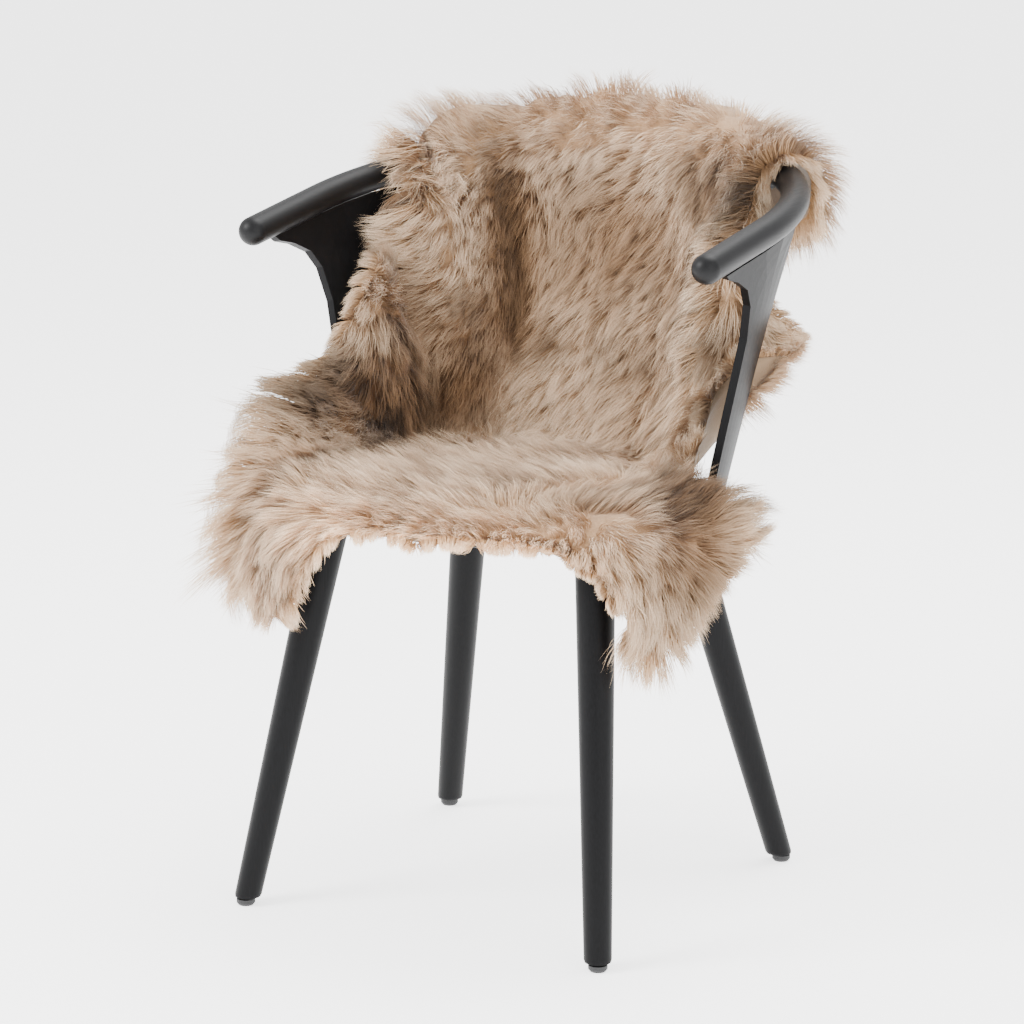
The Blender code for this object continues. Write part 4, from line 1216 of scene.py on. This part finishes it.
def rail_line():
    """(place, girth) along the rail's middle, from one half-round end to the other."""
    def raised(x, y):
        return Vector((x, y, ARM_END_HEIGHT + RAIL_SLOPE * (y - ARM_END_Y)))

    end = raised(ARM_HALF_WIDTH, ARM_END_Y)
    forward = (end - raised(ARM_HALF_WIDTH, ARM_END_Y + 0.1)).normalized()
    half = []
    for degrees in range(88, 0, -8):
        a = math.radians(degrees)
        half.append((end + forward * ROD_RADIUS * math.sin(a), ROD_RADIUS * math.cos(a)))
    half += [(raised(ARM_HALF_WIDTH, ARM_END_Y + step), ROD_RADIUS)
             for step in (0.0, 0.03, 0.06, 0.09)]
    for degrees in range(0, 90, 2):
        a = math.radians(degrees)
        x = ARM_HALF_WIDTH * math.cos(a) ** BEND_SQUARENESS
        half.append((raised(x, BEND_START_Y + BEND_DEPTH * math.sin(a)), ROD_RADIUS))
    back = [(raised(0.0, BEND_START_Y + BEND_DEPTH), ROD_RADIUS)]
    other = [(Vector((-p.x, p.y, p.z)), girth) for p, girth in half[::-1]]
    return [(p + Vector((middle.x, middle.y, 0.0)), girth) for p, girth in half + back + other]


def rod_tree():
    tree = bpy.data.node_groups.new("bend a rod", "GeometryNodeTree")
    face = tree.interface
    face.new_socket("Geometry", in_out="OUTPUT", socket_type="NodeSocketGeometry")
    for name, kind in (("Geometry", "NodeSocketGeometry"), ("Sides", "NodeSocketInt"),
                       ("Wood", "NodeSocketMaterial")):
        face.new_socket(name, in_out="INPUT", socket_type=kind)
    given = add(tree, "NodeGroupInput").outputs
    line = add(tree, "GeometryNodeMeshToCurve", {"Mesh": given["Geometry"]}, 0)
    girth = add(tree, NAMED, {"Name": "girth"}, 0, data_type="FLOAT")
    circle = add(tree, "GeometryNodeCurvePrimitiveCircle",
                 {"Resolution": given["Sides"], "Radius": 1.0}, 0)
    rod = add(tree, "GeometryNodeCurveToMesh",
              {"Curve": line, "Profile Curve": circle, "Scale": girth, "Fill Caps": True}, 0)
    soft = add(tree, "GeometryNodeSetShadeSmooth", {"Geometry": rod, "Shade Smooth": True}, 0)
    real = add(tree, "GeometryNodeRealizeInstances", {"Geometry": soft}, 0)
    painted = add(tree, "GeometryNodeSetMaterial", {"Geometry": real, "Material": given["Wood"]}, 0)
    add(tree, "NodeGroupOutput", {"Geometry": painted})
    return tree


def bent_rail():
    line = rail_line()
    mesh = bpy.data.meshes.new("rail_line")
    mesh.from_pydata([p for p, _ in line], [(i, i + 1) for i in range(len(line) - 1)], [])
    girths = mesh.attributes.new("girth", "FLOAT", "POINT")
    girths.data.foreach_set("value", [girth for _, girth in line])
    holder = mesh_object("rail_line", mesh)
    modifier = holder.modifiers.new("rod", "NODES")
    modifier.node_group = rod_tree()
    set_inputs(modifier, {"Sides": ROUND_SIDES, "Wood": deep_wood})
    mesh = finished_mesh(holder)
    bpy.data.objects.remove(holder)
    return mesh_object("rail_bent", mesh)


chair_pieces["rail"] = bent_rail()
for name, piece in chair_pieces.items():
    corners = [[f([v.co[i] for v in piece.data.vertices]) for i in range(3)] for f in (min, max)]
    apart = max(abs(a - b) for one, two in zip(corners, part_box(name)) for a, b in zip(one, two))
    print(f"{name}: {len(piece.data.polygons)} faces, {apart * 1000:.2f} mm from its node's box")

# %% [markdown]
# ## What rides, what replaces what
#
# Nothing here has a joint, so every piece rides on the one body. The hide and the undercoat
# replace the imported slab, the wool at the rim replaces the runs of locks, and the turned legs and
# the bent rail replace their own nodes. The seat, the panels and the glides stay as they are.

every_piece = [hide, undercoat_piece, *wool_pieces]
for piece in every_piece:
    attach(piece, "root")
for name, piece in chair_pieces.items():
    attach(piece, "root")
    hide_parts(name)
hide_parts("sheepskin")
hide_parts("sheepskin")
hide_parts(*(name for name in nodes if name.startswith("locks")))

# %% [markdown]
# ## Floor, light and camera
#
# A plain pale sweep, soft light from all sides and a large soft key from the upper left give the
# even look of a catalogue picture. The camera has a long lens and stands four metres away, to the
# right of the front and a little above the seat.

# %% Stage, lights and camera
CAMERA_DISTANCE = 4.0268
CAMERA_TARGET = Vector((-0.0062, -0.0036, 0.4176))
CAMERA_LENS = 131.1
LIT_PLACE = (0.0, 0.0, 0.5)  # all three lamps point at the seat


def make_stage():
    bm = bmesh.new()
    bmesh.ops.create_grid(bm, x_segments=1, y_segments=1, size=20.0)
    mesh = mesh_from(bm, "floor")
    floor = mesh_object("floor", mesh)
    _, shader, material = new_material("studio paper")
    set_sockets(shader, {"Base Color": linear("#fafafa"), "Roughness": 0.9,
                         "Emission Color": linear("#ffffff"), "Emission Strength": 2.0})
    mesh.materials.append(material)


def area_light(name, place, target, size, power):
    data = bpy.data.lights.new(name, "AREA")
    data.shape = "DISK"
    data.size = size
    data.energy = power
    light = bpy.data.objects.new(name, data)
    light.location = place
    light.rotation_euler = (Vector(target) - Vector(place)).to_track_quat("-Z", "Y").to_euler()
    bpy.context.scene.collection.objects.link(light)


def make_camera():
    target = CAMERA_TARGET + Vector((middle.x, middle.y, 0.0))
    place = target - VIEW_AHEAD * CAMERA_DISTANCE
    data = bpy.data.cameras.new("camera")
    data.lens = CAMERA_LENS
    data.sensor_width = 36.0
    camera = bpy.data.objects.new("camera", data)
    camera.location = place
    camera.rotation_euler = (target - place).to_track_quat("-Z", "Y").to_euler()
    bpy.context.scene.collection.objects.link(camera)
    bpy.context.scene.camera = camera


make_stage()
area_light("key", (-2.2, -2.6, 2.9), LIT_PLACE, 2.0, 230.0)
area_light("fill", (3.0, -1.6, 1.9), LIT_PLACE, 2.6, 50.0)
area_light("top", (0.3, 1.2, 3.4), LIT_PLACE, 2.4, 120.0)
world = bpy.data.worlds.new("studio")
bpy.context.scene.world = world
world.use_nodes = True
set_sockets(world.node_tree.nodes["Background"], {"Color": linear("#ffffff"), "Strength": 1.7})
make_camera()
